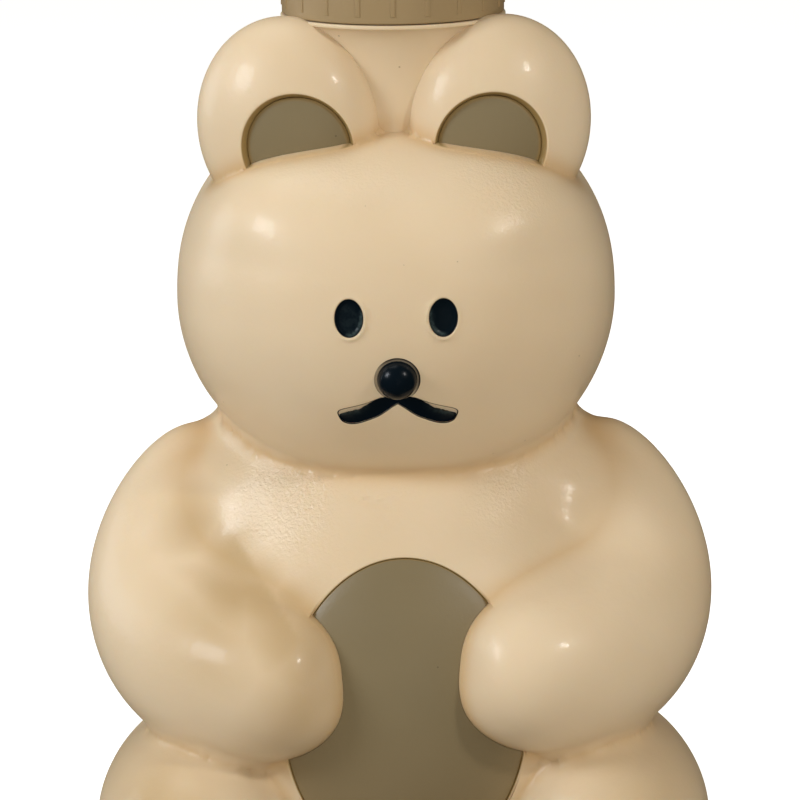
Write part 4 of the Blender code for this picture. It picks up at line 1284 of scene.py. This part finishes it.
def moustache(turn, grow, share):
    """The mouth as a shape. Share draws its height in, and slants its ends."""
    across = math.cos(turn)
    rounding = (1 - abs(across) ** 9) ** (1 / 3.2)
    x = (MOUTH_HALF + grow - 0.2) * across
    rise = math.copysign(rounding, math.sin(turn)) * (stroke_tall(x) + grow) * share
    slant = MOUTH_SLANT * rise * ease(abs(x), 4.5, 9.0)
    return MOUTH_MIDDLE + x + slant * math.copysign(1, x), stroke_middle(x) + rise


# %% Cut the face
EYE_OVAL = {side: oval(*EYE_HALF, EYE_MIDDLE[side]) for side in (-1, 1)}

for name, shape, steps, segments in (
    ("eye_tool", EYE_OVAL[-1], pocket_steps(roll=0.3, depth=1.05), 80),
    ("eye_tool", EYE_OVAL[1], pocket_steps(roll=0.3, depth=1.05), 80),
    ("mouth_tool", moustache, pocket_steps(roll=0.22, depth=0.5), 220),
    ("nose_tool", NOSE_OVAL, pocket_steps(roll=0.12, depth=0.2), 96),
):
    carve(bear, loft(name, shape, steps, head_front, segments))
print("face cut:", len(bear.data.polygons), "faces")

# %% [markdown]
# ## The hollow
#
# Blow moulding leaves a wall of about two millimetres. The inside is plain and soft, and
# nobody looks into it except down the neck, so rough forms are enough: they are drawn in by
# the wall, fused by the remesher and cut out.

# %% Hollow
WALL = 2.0
TRUNK_EXTRA = 1.2
LIMB_EXTRA = 0.4
HOLLOW_FILLET = 3.0
BORE_FILLET = 2.0
BORE_SPAN = (104.0, 150.0)
HOLLOW_VOXEL = 2.4
NECK_BORE = 12.4
NECK_BORE_FOOT = 141.0


def inner_gap(points):
    """The skin's forms, one wall further in, with the neck's bore."""
    x, y, z = points.T
    trunk = trunk_gap(points) + WALL + TRUNK_EXTRA
    limbs = np.minimum(limb_gap(points, ARMS), limb_gap(points, LEGS)) + WALL + LIMB_EXTRA
    head = head_gap(points) + WALL + LIMB_EXTRA
    inside = fillet(fillet(trunk, limbs, HOLLOW_FILLET), head, HOLLOW_FILLET)
    bore = np.hypot(x, y) - np.clip(11.0 + 0.054 * (z - 112), 9, 12.2)
    bore = np.maximum(bore, np.maximum(z - BORE_SPAN[1], BORE_SPAN[0] - z))
    return np.maximum(fillet(inside, bore, BORE_FILLET), WALL - z)


core = bmesh.new()
add_bear(core, WALL, ears=False)
bmesh.ops.create_cone(
    core, cap_ends=True, segments=48, radius1=10.6, radius2=12.0, depth=46.0,
    matrix=Matrix.Translation((0, 0, 127.0)),
)
hollow = object_from("hollow", core)
fuse(hollow, HOLLOW_VOXEL)
relax(hollow, 2)
draw_on(hollow, inner_gap, 4)
print("hollow off its form by", round(off_form(hollow, inner_gap), 2), "mm at most")
carve(hollow, lathe("neck_bore", [
    (0.0, MOUTH_TOP + 1), (NECK_BORE, MOUTH_TOP + 1), (NECK_BORE, NECK_BORE_FOOT),
    (0.0, NECK_BORE_FOOT),
]), "UNION")
carve(bear, hollow)
print("hollowed:", len(bear.data.polygons), "faces")

# %% [markdown]
# ## Marks on the skin
#
# The finish changes over the skin: painted shade, warm and dark, in the folds between two forms;
# a golden fringe beside the khaki, partly faded paint and partly painted shade under its rolled
# edge; dark paint on the edges of the eyes' and mouth's pockets, and a dark line round the nose's
# groove; and coarse grain on chest and brow. Each is a number at every point.

# %% Painted shade in folds, and fringes
FOLD_WIDE = 1.9


def mark(piece, label, values):
    """Gives every point of the piece a number under the label."""
    layer = piece.data.attributes.new(label, "FLOAT", "POINT")
    layer.data.foreach_set("value", np.clip(values, -99, 99).astype(np.float32))


points = read_points(bear)
x, y, z = points.T
off_head = head_gap(points)
outer = np.abs(bear_gap(points)) < 1.6
# Painted shade in the folds, strongest where a second form comes close.
mark(bear, "fold", np.exp(-((second_nearest(points) / FOLD_WIDE) ** 2)) * outer)
mark(bear, "seam", 0.5 + y)

# The fringe marks the pocket walls beside each khaki field: partly faded paint, partly painted shade
# under the rolled edge.
off_limbs = np.minimum(limb_gap(points, ARMS), limb_gap(points, LEGS)) > 0.2
at_edge = np.abs(oval_grow(points, *BELLY_HALF, BELLY_SPOT)) < 0.35
fringe = at_edge & (y - trunk_front(x, z) > 0.03) & (y < -12) & off_limbs
for side in (-1, 1):
    local = to_ear(points, side)
    grow = oval_grow(local, *EAR_HALF, EAR_SPOT[side])
    deep = local[:, 1] - ear_front(local[:, 0], local[:, 2])
    on_ear = (local[:, 1] < -2) & (np.abs(local[:, 0]) < 14) & (off_head > -0.3)
    fringe |= on_ear & (grow < 1.3) & (grow > -0.4) & (deep > 0.1)
mark(bear, "rim", fringe.astype(float))
print("fringe:", int(fringe.sum()), "points")

# %% [markdown]
# Grain and painted shade come in soft patches, each an oval bell round its own spot. A band of
# painted shade follows the chest's lower left edge, where the arm beside it lies in shade.

# %% Grain and painted shade
GRAIN_PATCHES = (
    # x, height, spread in x and in height, and strength of each grainy patch
    (-17.0, 74.0, 8.0, 9.0, 1.0),
    (-23.0, 69.0, 4.5, 6.0, 0.6),
    (15.5, 74.5, 5.0, 7.0, 0.8),
    (-4.0, 72.0, 9.0, 6.0, 0.35),
    (17.0, 122.0, 7.0, 7.0, 0.6),
    (-8.0, 122.0, 12.0, 5.0, 0.3),
)
# Painted shade: these patches darken the sides and hollows that lie out of the light.
SHADE_PATCHES = (
    # the same for each patch of painted shade
    (-30.5, 51.0, 9.0, 8.0, 0.8),
    (-26.5, 56.5, 7.0, 5.5, 0.95),
    (-15.0, 49.5, 5.5, 9.0, 0.9),
    (-33.0, 66.0, 5.0, 5.5, 0.7),
    (-30.0, 76.0, 5.0, 4.0, 0.35),
    (-27.5, 63.0, 4.5, 3.5, 0.6),
    (-22.5, 59.0, 4.5, 3.0, 0.7),
    (-17.0, 56.0, 3.5, 3.0, 0.8),
    (-39.0, 24.0, 10.0, 7.5, 0.95),
    (-14.0, 41.5, 8.5, 12.0, 0.75),
    (38.0, 25.0, 9.0, 7.0, 0.6),
    (28.0, 66.0, 4.0, 5.0, 0.3),
)
BROW_FROM = 100.0
CHEST_EDGE = (-24.8, 63.4)
EDGE_RUN = (11.0, 12.2, 16.4)
SHADE_BAND_STRENGTH = 0.95


def patches(table, chest=1.0):
    """The strongest patch at each point. Patches under the brow also fade with the chest."""
    strongest = np.zeros(len(x))
    for across, height, wide, tall, strength in table:
        bell = np.exp(-((x - across) / wide) ** 2 - ((z - height) / tall) ** 2)
        fade = 1.0 if height > BROW_FROM else chest
        strongest = np.maximum(strongest, strength * bell * fade)
    return strongest


mark(bear, "grain", patches(GRAIN_PATCHES, chest=ease(off_head, 0.4, 2.0)) * (y < 4.0))

right, down, run = EDGE_RUN
from_x = x - CHEST_EDGE[0]
from_z = z - CHEST_EDGE[1]
along_edge = (from_x * right - from_z * down) / run
under_edge = (-from_x * down - from_z * right) / run
# Painted shade: a band below the chest's edge, joined with the patches.
shade_band = ease(under_edge, -0.8, 1.4) * (1 - ease(under_edge, 2.5, 12.0))
shade_band *= ease(along_edge, -9.0, 1.0) * (1 - ease(along_edge, 14.0, 20.0))
painted_shading = np.maximum(patches(SHADE_PATCHES), SHADE_BAND_STRENGTH * shade_band)
mark(bear, "painted_shade", painted_shading * ease(-y, 4.0, 14.0))
print("patches:", len(GRAIN_PATCHES), "of grain,", len(SHADE_PATCHES), "of tan")

# %% [markdown]
# The dark paint of eyes and mouth also touched the edges of their pockets. Round the nose a
# dark line lies at the groove's edge, stronger above and on the right than below.

# %% Dark edges
deep = y - head_front(x, z)
on_face = (y < -25) & (z > 80) & (z < 108)
in_eye = [oval_grow(points, *EYE_HALF, EYE_MIDDLE[side]) < 0.12 for side in (-1, 1)]
nose_grow = oval_grow(points, NOSE_GROOVE, NOSE_GROOVE, NOSE_SPOT)
toward = (0.6 * x + 0.8 * (z - NOSE_SPOT[1])) / (NOSE_GROOVE + np.abs(nose_grow))
nose_dark_line = ((nose_grow > -0.02) & (nose_grow < 0.2)) * (0.35 + 0.65 * ease(toward, -0.4, 0.6))
mouth_zone = (np.abs(x) < 10.5) & (z < 90.5) & (nose_grow > 0.3)
mouth_ends = np.abs(x - MOUTH_MIDDLE) > 8.6
mouth_ink = mouth_zone & (deep < np.where(mouth_ends, 0.4, 0.16))
mark(bear, "dark_edge", on_face * (deep > 0.015) * np.maximum(np.logical_or(*in_eye) | mouth_ink, nose_dark_line))
dress(bear, cream, "bottle", "bottle")

# %% [markdown]
# ## Khaki fields, eyes, nose and mouth
#
# Each lies in its pocket: the khaki fields are let in flush, the eyes are dished, and the
# mouth's paint covers the channel's floor with a ragged upper edge near both ends.

# %% Belly field
steps = inlay_steps(inset=0.0, front=0.3, edge=0.2, back=1.15)
belly_panel = loft("belly_field", BELLY_OVAL, steps, trunk_front, 160)
clear_of_limbs(belly_panel, 0.12)
points = read_points(belly_panel)
# The field's edge takes the fringe colour: partly faded paint, partly painted shade.
mark(belly_panel, "rim", (oval_grow(points, *BELLY_HALF, BELLY_SPOT) > -0.2).astype(float))
# Painted light: the field is lightened towards its bottom, against the shade between the legs.
mark(belly_panel, "lighter_and_painted_light", 0.32 * ease(-points[:, 2], -44.0, -18.0))
dress(belly_panel, khaki, "bottle", "belly_panel")

# %% Ear fields
SIDES = ((-1, "left"), (1, "right"))

for side, word in SIDES:
    steps = inlay_steps(inset=-0.03, front=1.3, edge=0.1, back=EAR_POCKET - 0.05)
    field = loft(f"ear_field_{word}", EAR_SHAPE[side], steps, ear_front, 96, ear_place(side))
    clear_of_head(field, 0.1)
    grow = oval_grow(to_ear(read_points(field), side), *EAR_HALF, EAR_SPOT[side])
    # The field's edge takes the fringe colour: partly faded paint, partly painted shade.
    mark(field, "rim", (grow > -0.25).astype(float))
    dress(field, khaki, "bottle", f"ear_panel_{word}")

# %% Eyes
PAINT_GAP = 0.02
EYE_DISH = (
    # share of the oval, and depth behind the face
    (POINT, 0.72), (0.3, 0.71), (0.55, 0.68), (0.72, 0.62), (0.8, 0.52), (0.88, 0.4),
    (0.95, 0.31), (1.0, 0.28), (1.0, 1.0), (0.5, 1.0), (POINT, 1.0),
)

for side, word in SIDES:
    steps = [(-PAINT_GAP, *step) for step in EYE_DISH]
    eye = loft(f"eye_dish_{word}", EYE_OVAL[side], steps, head_front, 72)
    points = read_points(eye)
    across, height = EYE_MIDDLE[side]
    # Painted reflection: one side of each eye's wall is grey-green as if it caught the light. The
    # left eye's floor has brushed strokes of thin paint.
    toward = -side * (points[:, 0] - across) - 0.6 * (points[:, 2] - height)
    inner = oval_grow(points, *EYE_HALF, EYE_MIDDLE[side])
    wall = ease(inner, -0.75, -0.35) * ease(toward, 0.6, 2.0)
    floor_strokes = 0.14 * (side < 0) * ease(-inner, 0.4, 1.0)
    mark(eye, "thin_paint_and_reflection", np.maximum(wall, floor_strokes))
    dress(eye, navy, "bottle", f"eye_{word}", 60)

# %% Nose
NOSE_BULGE = 2.9
NOSE_DEPTH = 0.62

seat = float(head_front(np.array([NOSE_SPOT[0]]), np.array([NOSE_SPOT[1]]))[0])
ball = bmesh.new()
add_sphere(ball, 64, 40)
bmesh.ops.scale(ball, vec=(NOSE_RADIUS, NOSE_BULGE, NOSE_RADIUS), verts=ball.verts)
bmesh.ops.translate(ball, vec=(NOSE_SPOT[0], seat, NOSE_SPOT[1]), verts=ball.verts)
bmesh.ops.bisect_plane(
    ball, geom=ball.verts[:] + ball.edges[:] + ball.faces[:], dist=1e-5,
    plane_co=(0, seat + NOSE_DEPTH, 0), plane_no=(0, 1, 0), clear_outer=True,
)
bmesh.ops.edgeloop_fill(ball, edges=[edge for edge in ball.edges if edge.is_boundary])
dress(piece_from("nose_ball", ball), navy, "bottle", "nose", 60)

# %% Mouth
RAGGED = ((5.3, 0.22), (6.1, 0.1), (7.3, 0.34), (8.6, 0.2), (9.4, 0.3))
BARE = 0.62
MOUTH_PAINT = (
    (POINT, 0.42), (0.35, 0.41), (0.7, 0.38), (0.88, 0.35), (1.0, 0.3), (1.0, 0.48), (0.5, 0.48),
    (POINT, 0.48),
)
NOSE_ROOM = ((0.0, POINT, CLEAR), (0.0, 1.0, CLEAR), (0.0, 1.0, -CLEAR), (0.0, POINT, -CLEAR))


def brushed_mouth(turn, grow, share):
    """The paint in the channel: its upper edge stays away from the wall near both ends."""
    x, z = moustache(turn, grow, share)
    if math.sin(turn) <= 0 or share < 0.5:
        return x, z
    x -= MOUTH_MIDDLE
    phase = abs(x) * 3.1 + 0.7 * math.copysign(1, x)
    wave = sum(size * math.sin(pace * phase) for pace, size in RAGGED)
    bare = BARE * ease(abs(x), 3.4, 6.6) * (share - 0.5) * 2 * (1 + 0.28 * wave)
    drawn_in = math.copysign(0.5 * bare * ease(abs(x), 7.0, 9.0), x)
    return MOUTH_MIDDLE + x - drawn_in, z - bare


steps = [(-PAINT_GAP, *step) for step in MOUTH_PAINT]
mouth = loft("mouth_stroke", brushed_mouth, steps, head_front, 220)
carve(mouth, loft("nose_room", NOSE_OVAL, NOSE_ROOM, head_front, 72))
points = read_points(mouth)
beside = np.abs(points[:, 0] - MOUTH_MIDDLE)
above = points[:, 2] - stroke_middle(beside)
mark(mouth, "thin_paint_and_reflection", ease(beside, 3.5, 8.5) * ease(above, -0.3, 0.7) * 0.8)
dress(mouth, navy, "bottle", "mouth", 60)

# %% [markdown]
# ## Screw collar
#
# The collar is a moulded cap with a hub. Its skirt carries twenty low, narrow ribs for
# the fingers, which end a millimetre above its foot. The body is turned, the ribs are one
# small bar repeated round it, and the thread inside matches the neck's.

# %% Collar
COLLAR_RADIUS = 17.92
COLLAR_FOOT = 145.75
COLLAR_TOP = 166.5
SKIRT_BORE = 15.3
ROOF_UNDER = 164.9
HUB_TOP = 172.5
HUB_BORE = 9.5
RIB_COUNT = 20
RIB_HEIGHT = 0.15
RIB_SIZE = (1.2, 0.85, 17.3)
RIB_MIDDLE = 9.8

collar = lathe("collar", soften([
    (COLLAR_RADIUS, COLLAR_FOOT, 0.35), (COLLAR_RADIUS, COLLAR_TOP, 1.8),
    (12.1, COLLAR_TOP, 0.7), (11.9, HUB_TOP, 0.9), (HUB_BORE, HUB_TOP, 0.4),
    (HUB_BORE, ROOF_UNDER), (SKIRT_BORE, ROOF_UNDER, 0.6), (SKIRT_BORE, COLLAR_FOOT, 0.3),
]), 160)

ribs = bmesh.new()
rib_spot = (COLLAR_RADIUS + RIB_HEIGHT - RIB_SIZE[0] / 2, 0, COLLAR_FOOT + RIB_MIDDLE)
for n in range(RIB_COUNT):
    bar = bmesh.ops.create_cube(ribs, size=1.0)["verts"]
    bmesh.ops.scale(ribs, vec=RIB_SIZE, verts=bar)
    lines = {edge for vert in bar for edge in vert.link_edges}
    outward = [edge for edge in lines if all(vert.co.x > 0 for vert in edge.verts)]
    bmesh.ops.bevel(
        ribs, geom=outward, offset=0.16, offset_type="OFFSET", segments=3, profile=0.5,
        affect="EDGES", material=-1, clamp_overlap=True,
    )
    fresh = [vert for vert in ribs.verts if vert.co.length < RIB_SIZE[2]]
    bmesh.ops.translate(ribs, vec=rib_spot, verts=fresh)
    turn = Matrix.Rotation(math.radians(360 / RIB_COUNT) * n, 3, "Z")
    bmesh.ops.rotate(ribs, verts=fresh, cent=(0, 0, 0), matrix=turn)
carve(collar, piece_from("ribs", ribs), "UNION")
thread = ridge("collar_thread", SKIRT_BORE + 1, SKIRT_BORE - 1, THREAD_FOOT - THREAD_PITCH / 2, 1.0)
carve(collar, thread, "UNION")
mark(collar, "lighter_and_painted_light", np.ones(len(collar.data.vertices)))
dress(collar, khaki, "collar", "screw_collar")

# %% [markdown]
# ## Pump head
#
# The photograph shows none of the pump above its collar. A foam pump's head is a broad
# button with a short spout, moulded in one piece. Both are forms like the bear's, blended
# with a fillet of four millimetres, and the sleeve, the bores and the outlet are plain cuts.

# %% Forms of the head
BUTTON_FOOT = 185.1
BUTTON_TOP = 197.1
BUTTON_RADIUS = 13.6
BUTTON_LIP = 2.0
SPOUT_LINE = ((0.0, 0.0, 191.1), (0.0, -23.25, 191.6), (0.0, -31.0, 187.1))
SPOUT_FAT = (5.2, 3.6)
SPOUT_FILLET = 4.0
DISH_DEPTH = 0.9
DISH_SPREAD = 6.0


def button_gap(points):
    x, y, z = points.T
    tall = BUTTON_TOP - BUTTON_FOOT - BUTTON_LIP
    u = (np.hypot(x, y) + TINY) / BUTTON_RADIUS
    w = (np.clip(z - BUTTON_FOOT - BUTTON_LIP, 0, None) + TINY) / tall
    level = (u**3 + w**3) ** (1 / 3)
    slope = np.hypot((u / level) ** 2 / BUTTON_RADIUS, (w / level) ** 2 / tall)
    return -fillet((1 - level) / slope, z - BUTTON_FOOT, 1.2)


def spout_gap(points):
    marks = np.linspace(0, 1, 60)
    spots = curve([np.array(point) for point in SPOUT_LINE], marks[:, None])
    near = ((points[:, None, :] - spots[None, :, :]) ** 2).sum(axis=2)
    t = marks[near.argmin(axis=1)]
    away = np.sqrt(near.min(axis=1)) - (SPOUT_FAT[0] + (SPOUT_FAT[1] - SPOUT_FAT[0]) * t)
    tip = spots[-1]
    ahead = (tip - spots[-2]) / np.linalg.norm(tip - spots[-2])
    return -fillet(-away, (tip - points) @ ahead, 0.9)


def head_form(points):
    """Button and spout in one, cut level on top, with a shallow dish for the palm."""
    x, y, z = points.T
    whole = fillet(button_gap(points), spout_gap(points), SPOUT_FILLET)
    level = -fillet(-whole, BUTTON_TOP - 0.1 - z, 1.6)
    reach = x**2 + (y - 0.5) ** 2
    return level + DISH_DEPTH * np.exp(-reach / (2 * DISH_SPREAD**2)) * (z > 190)


print("pump head:", round(BUTTON_TOP - BUTTON_FOOT, 1), "mm tall without its sleeve")

# %% [markdown]
# A round bar, bent along the spout's line, is the spout's seed, and a thinner one cuts its
# channel. The sleeve under the button takes the foam tube, and a riser leads from there to
# the channel.

# %% Bent bar


def bent_bar(name, root, tip, low, high, segments):
    """A round bar along the spout's line, from one share of it to another."""
    bm = bmesh.new()
    bmesh.ops.create_cone(bm, cap_ends=True, segments=segments, radius1=1.0, radius2=1.0, depth=1.0)
    sides = [edge for edge in bm.edges if abs(edge.verts[0].co.z - edge.verts[1].co.z) > 0.5]
    bmesh.ops.subdivide_edges(bm, edges=sides, cuts=24, use_grid_fill=True)
    pulls = [Vector(point) for point in SPOUT_LINE]
    out = Vector((1, 0, 0))
    for vert in bm.verts:
        t = low + (high - low) * (vert.co.z + 0.5)
        up = out.cross(heading(pulls, t).normalized()).normalized()
        size = root + (tip - root) * t
        vert.co = curve(pulls, t) + (out * vert.co.x + up * vert.co.y) * size
    return piece_from(name, bm)


# %% Shape the head
PRESS_VOXEL = 0.55
SLEEVE_FOOT = 158.3
SLEEVE_RADIUS = 9.0
SLEEVE_BORE = 6.5
SLEEVE_BORE_TOP = 180.3
RISER_TOP = 191.8
RISER_BORE = 2.5
CHANNEL = 2.0

press = bent_bar("press", *SPOUT_FAT, 0.1, 1.0, 48)
carve(press, lathe("button", [
    (0.0, 196.0), (9.0, 195.5), (12.5, 191.0), (13.0, BUTTON_FOOT), (0.0, BUTTON_FOOT),
], 48), "UNION")
fuse(press, PRESS_VOXEL)
relax(press, 2)
draw_on(press, head_form, 4)
print("head off its form by", round(off_form(press, head_form), 3), "mm at most")
carve(press, lathe("under_room", [
    (10.3, BUTTON_FOOT - 1), (12.3, BUTTON_FOOT - 1), (12.0, BUTTON_FOOT + 2.6),
    (10.6, BUTTON_FOOT + 2.6),
]))
carve(press, lathe("sleeve", soften([
    (0.0, BUTTON_FOOT + 1), (SLEEVE_RADIUS, BUTTON_FOOT + 1), (SLEEVE_RADIUS, SLEEVE_FOOT, 0.5),
    (0.0, SLEEVE_FOOT),
])), "UNION")
for name, radius, top, low, segments in (
    ("sleeve_bore", SLEEVE_BORE, SLEEVE_BORE_TOP, SLEEVE_FOOT - 1, 96),
    ("riser", RISER_BORE, RISER_TOP, SLEEVE_BORE_TOP - 1, 48),
):
    carve(press, lathe(name, [(0.0, top), (radius, top), (radius, low), (0.0, low)], segments))
carve(press, bent_bar("channel", CHANNEL, CHANNEL, 0.0, 1.1, 32))
mark(press, "lighter_and_painted_light", np.ones(len(press.data.vertices)))
dress(press, khaki, "head", "pump_head")

# %% [markdown]
# ## The pump's inner pieces
#
# Housing, pistons, valve, screens and dip tube keep the frame's own solids, which are right
# as they are. Each gets the finish of what it is made of: milky plastic, soft silicone,
# clear tube, bright steel and woven nylon.

# %% Inner finishes
white, *_ = plastic(
    "white_plastic", (0.80, 0.80, 0.77), (0.76, 0.76, 0.72), 0.34, 0.02, soft=0.1, speck=0.1,
)
silicone, *_ = plastic(
    "silicone", (0.60, 0.61, 0.60), (0.55, 0.56, 0.56), 0.5, 0.02, peel_scale=2200.0, soft=0.2,
    speck=0.0,
)
clear, _, shader, *_ = plastic(
    "clear_plastic", (0.80, 0.84, 0.82), (0.76, 0.80, 0.78), 0.18, 0.01, peel_scale=600.0, speck=0.0,
)
feed(shader, Transmission_Weight=0.75)
nylon, *_ = plastic(
    "mesh_nylon", (0.82, 0.82, 0.80), (0.72, 0.72, 0.70), 0.5, 0.04, peel_scale=3500.0, speck=0.0,
)

steel, shader = new_material("steel")
tree = steel.node_tree
worn = use_group(tree, drift, Scale=260.0)
drawn = use_group(tree, peel, Scale=2600.0)
bump = add(tree, "ShaderNodeBump", Strength=1.0, Distance=0.01 * MM, Height=drawn)
feed(
    shader, Metallic=1.0, Base_Color=mix_colours(worn, (0.56, 0.57, 0.58), (0.48, 0.48, 0.48)),
    Roughness=ramp(worn, (0.0, 0.18), (1.0, 0.3)), Normal=bump.outputs["Normal"],
)

INNER = {
    "pump_housing": white, "housing_cap": white, "air_piston": white, "piston_stem": white,
    "poppet_rod": white, "foam_tube": white, "neck_gasket": silicone, "air_valve": silicone,
    "liquid_piston": clear, "dip_tube": clear, "inlet_ball": steel,
    "lower_screen": nylon, "upper_screen": nylon,
}
for name, finish in INNER.items():
    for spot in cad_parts[name].material_slots:
        spot.material = finish
print("inner pieces finished:", len(INNER))

# %% [markdown]
# The return spring is a new piece, a wound wire in place of the frame's solid; the real one
# shortens as the head goes down. It has the sizes of the solid that it stands for, and its
# lower end is where the solid's is. Rings of points follow the winding, and each is joined to
# the next.

# %% Return spring
WIRE = 0.35
WIRE_SIDES = 12
CURLS = 8
CURL_STEPS = 32
FLAT_RISE = 2 * WIRE + 0.5

spring_low, spring_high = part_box("return_spring")
foot = spring_low[2] / MM + WIRE
crest = spring_high[2] / MM - WIRE
coil_radius = spring_high[0] / MM - WIRE


def coil_height(turn):
    """Height of the wire's middle: one flat curl at each end, and even ones between them."""
    if turn < 1:
        return foot + FLAT_RISE * turn
    if turn > CURLS - 1:
        return crest - FLAT_RISE * (CURLS - turn)
    return foot + FLAT_RISE + (crest - foot - 2 * FLAT_RISE) * (turn - 1) / (CURLS - 2)


wire = bmesh.new()
upward = Vector((0, 0, 1))
loops = []
for n in range(CURLS * CURL_STEPS + 1):
    turn = n / CURL_STEPS
    out = Vector((math.cos(2 * math.pi * turn), math.sin(2 * math.pi * turn), 0.0))
    middle = coil_radius * out + coil_height(turn) * upward
    loop = []
    for k in range(WIRE_SIDES):
        angle = 2 * math.pi * k / WIRE_SIDES
        aside = math.cos(angle) * out + math.sin(angle) * upward
        loop.append(wire.verts.new(middle + WIRE * aside))
    loops.append(loop)
for low, high in zip(loops, loops[1:]):
    for k in range(WIRE_SIDES):
        after = (k + 1) % WIRE_SIDES
        wire.faces.new((low[k], low[after], high[after], high[k]))
wire.faces.new(loops[0])
wire.faces.new(reversed(loops[-1]))
coil = piece_from("coil_spring", wire)
dress(coil, steel, "pump_body", "return_spring")
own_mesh(coil)
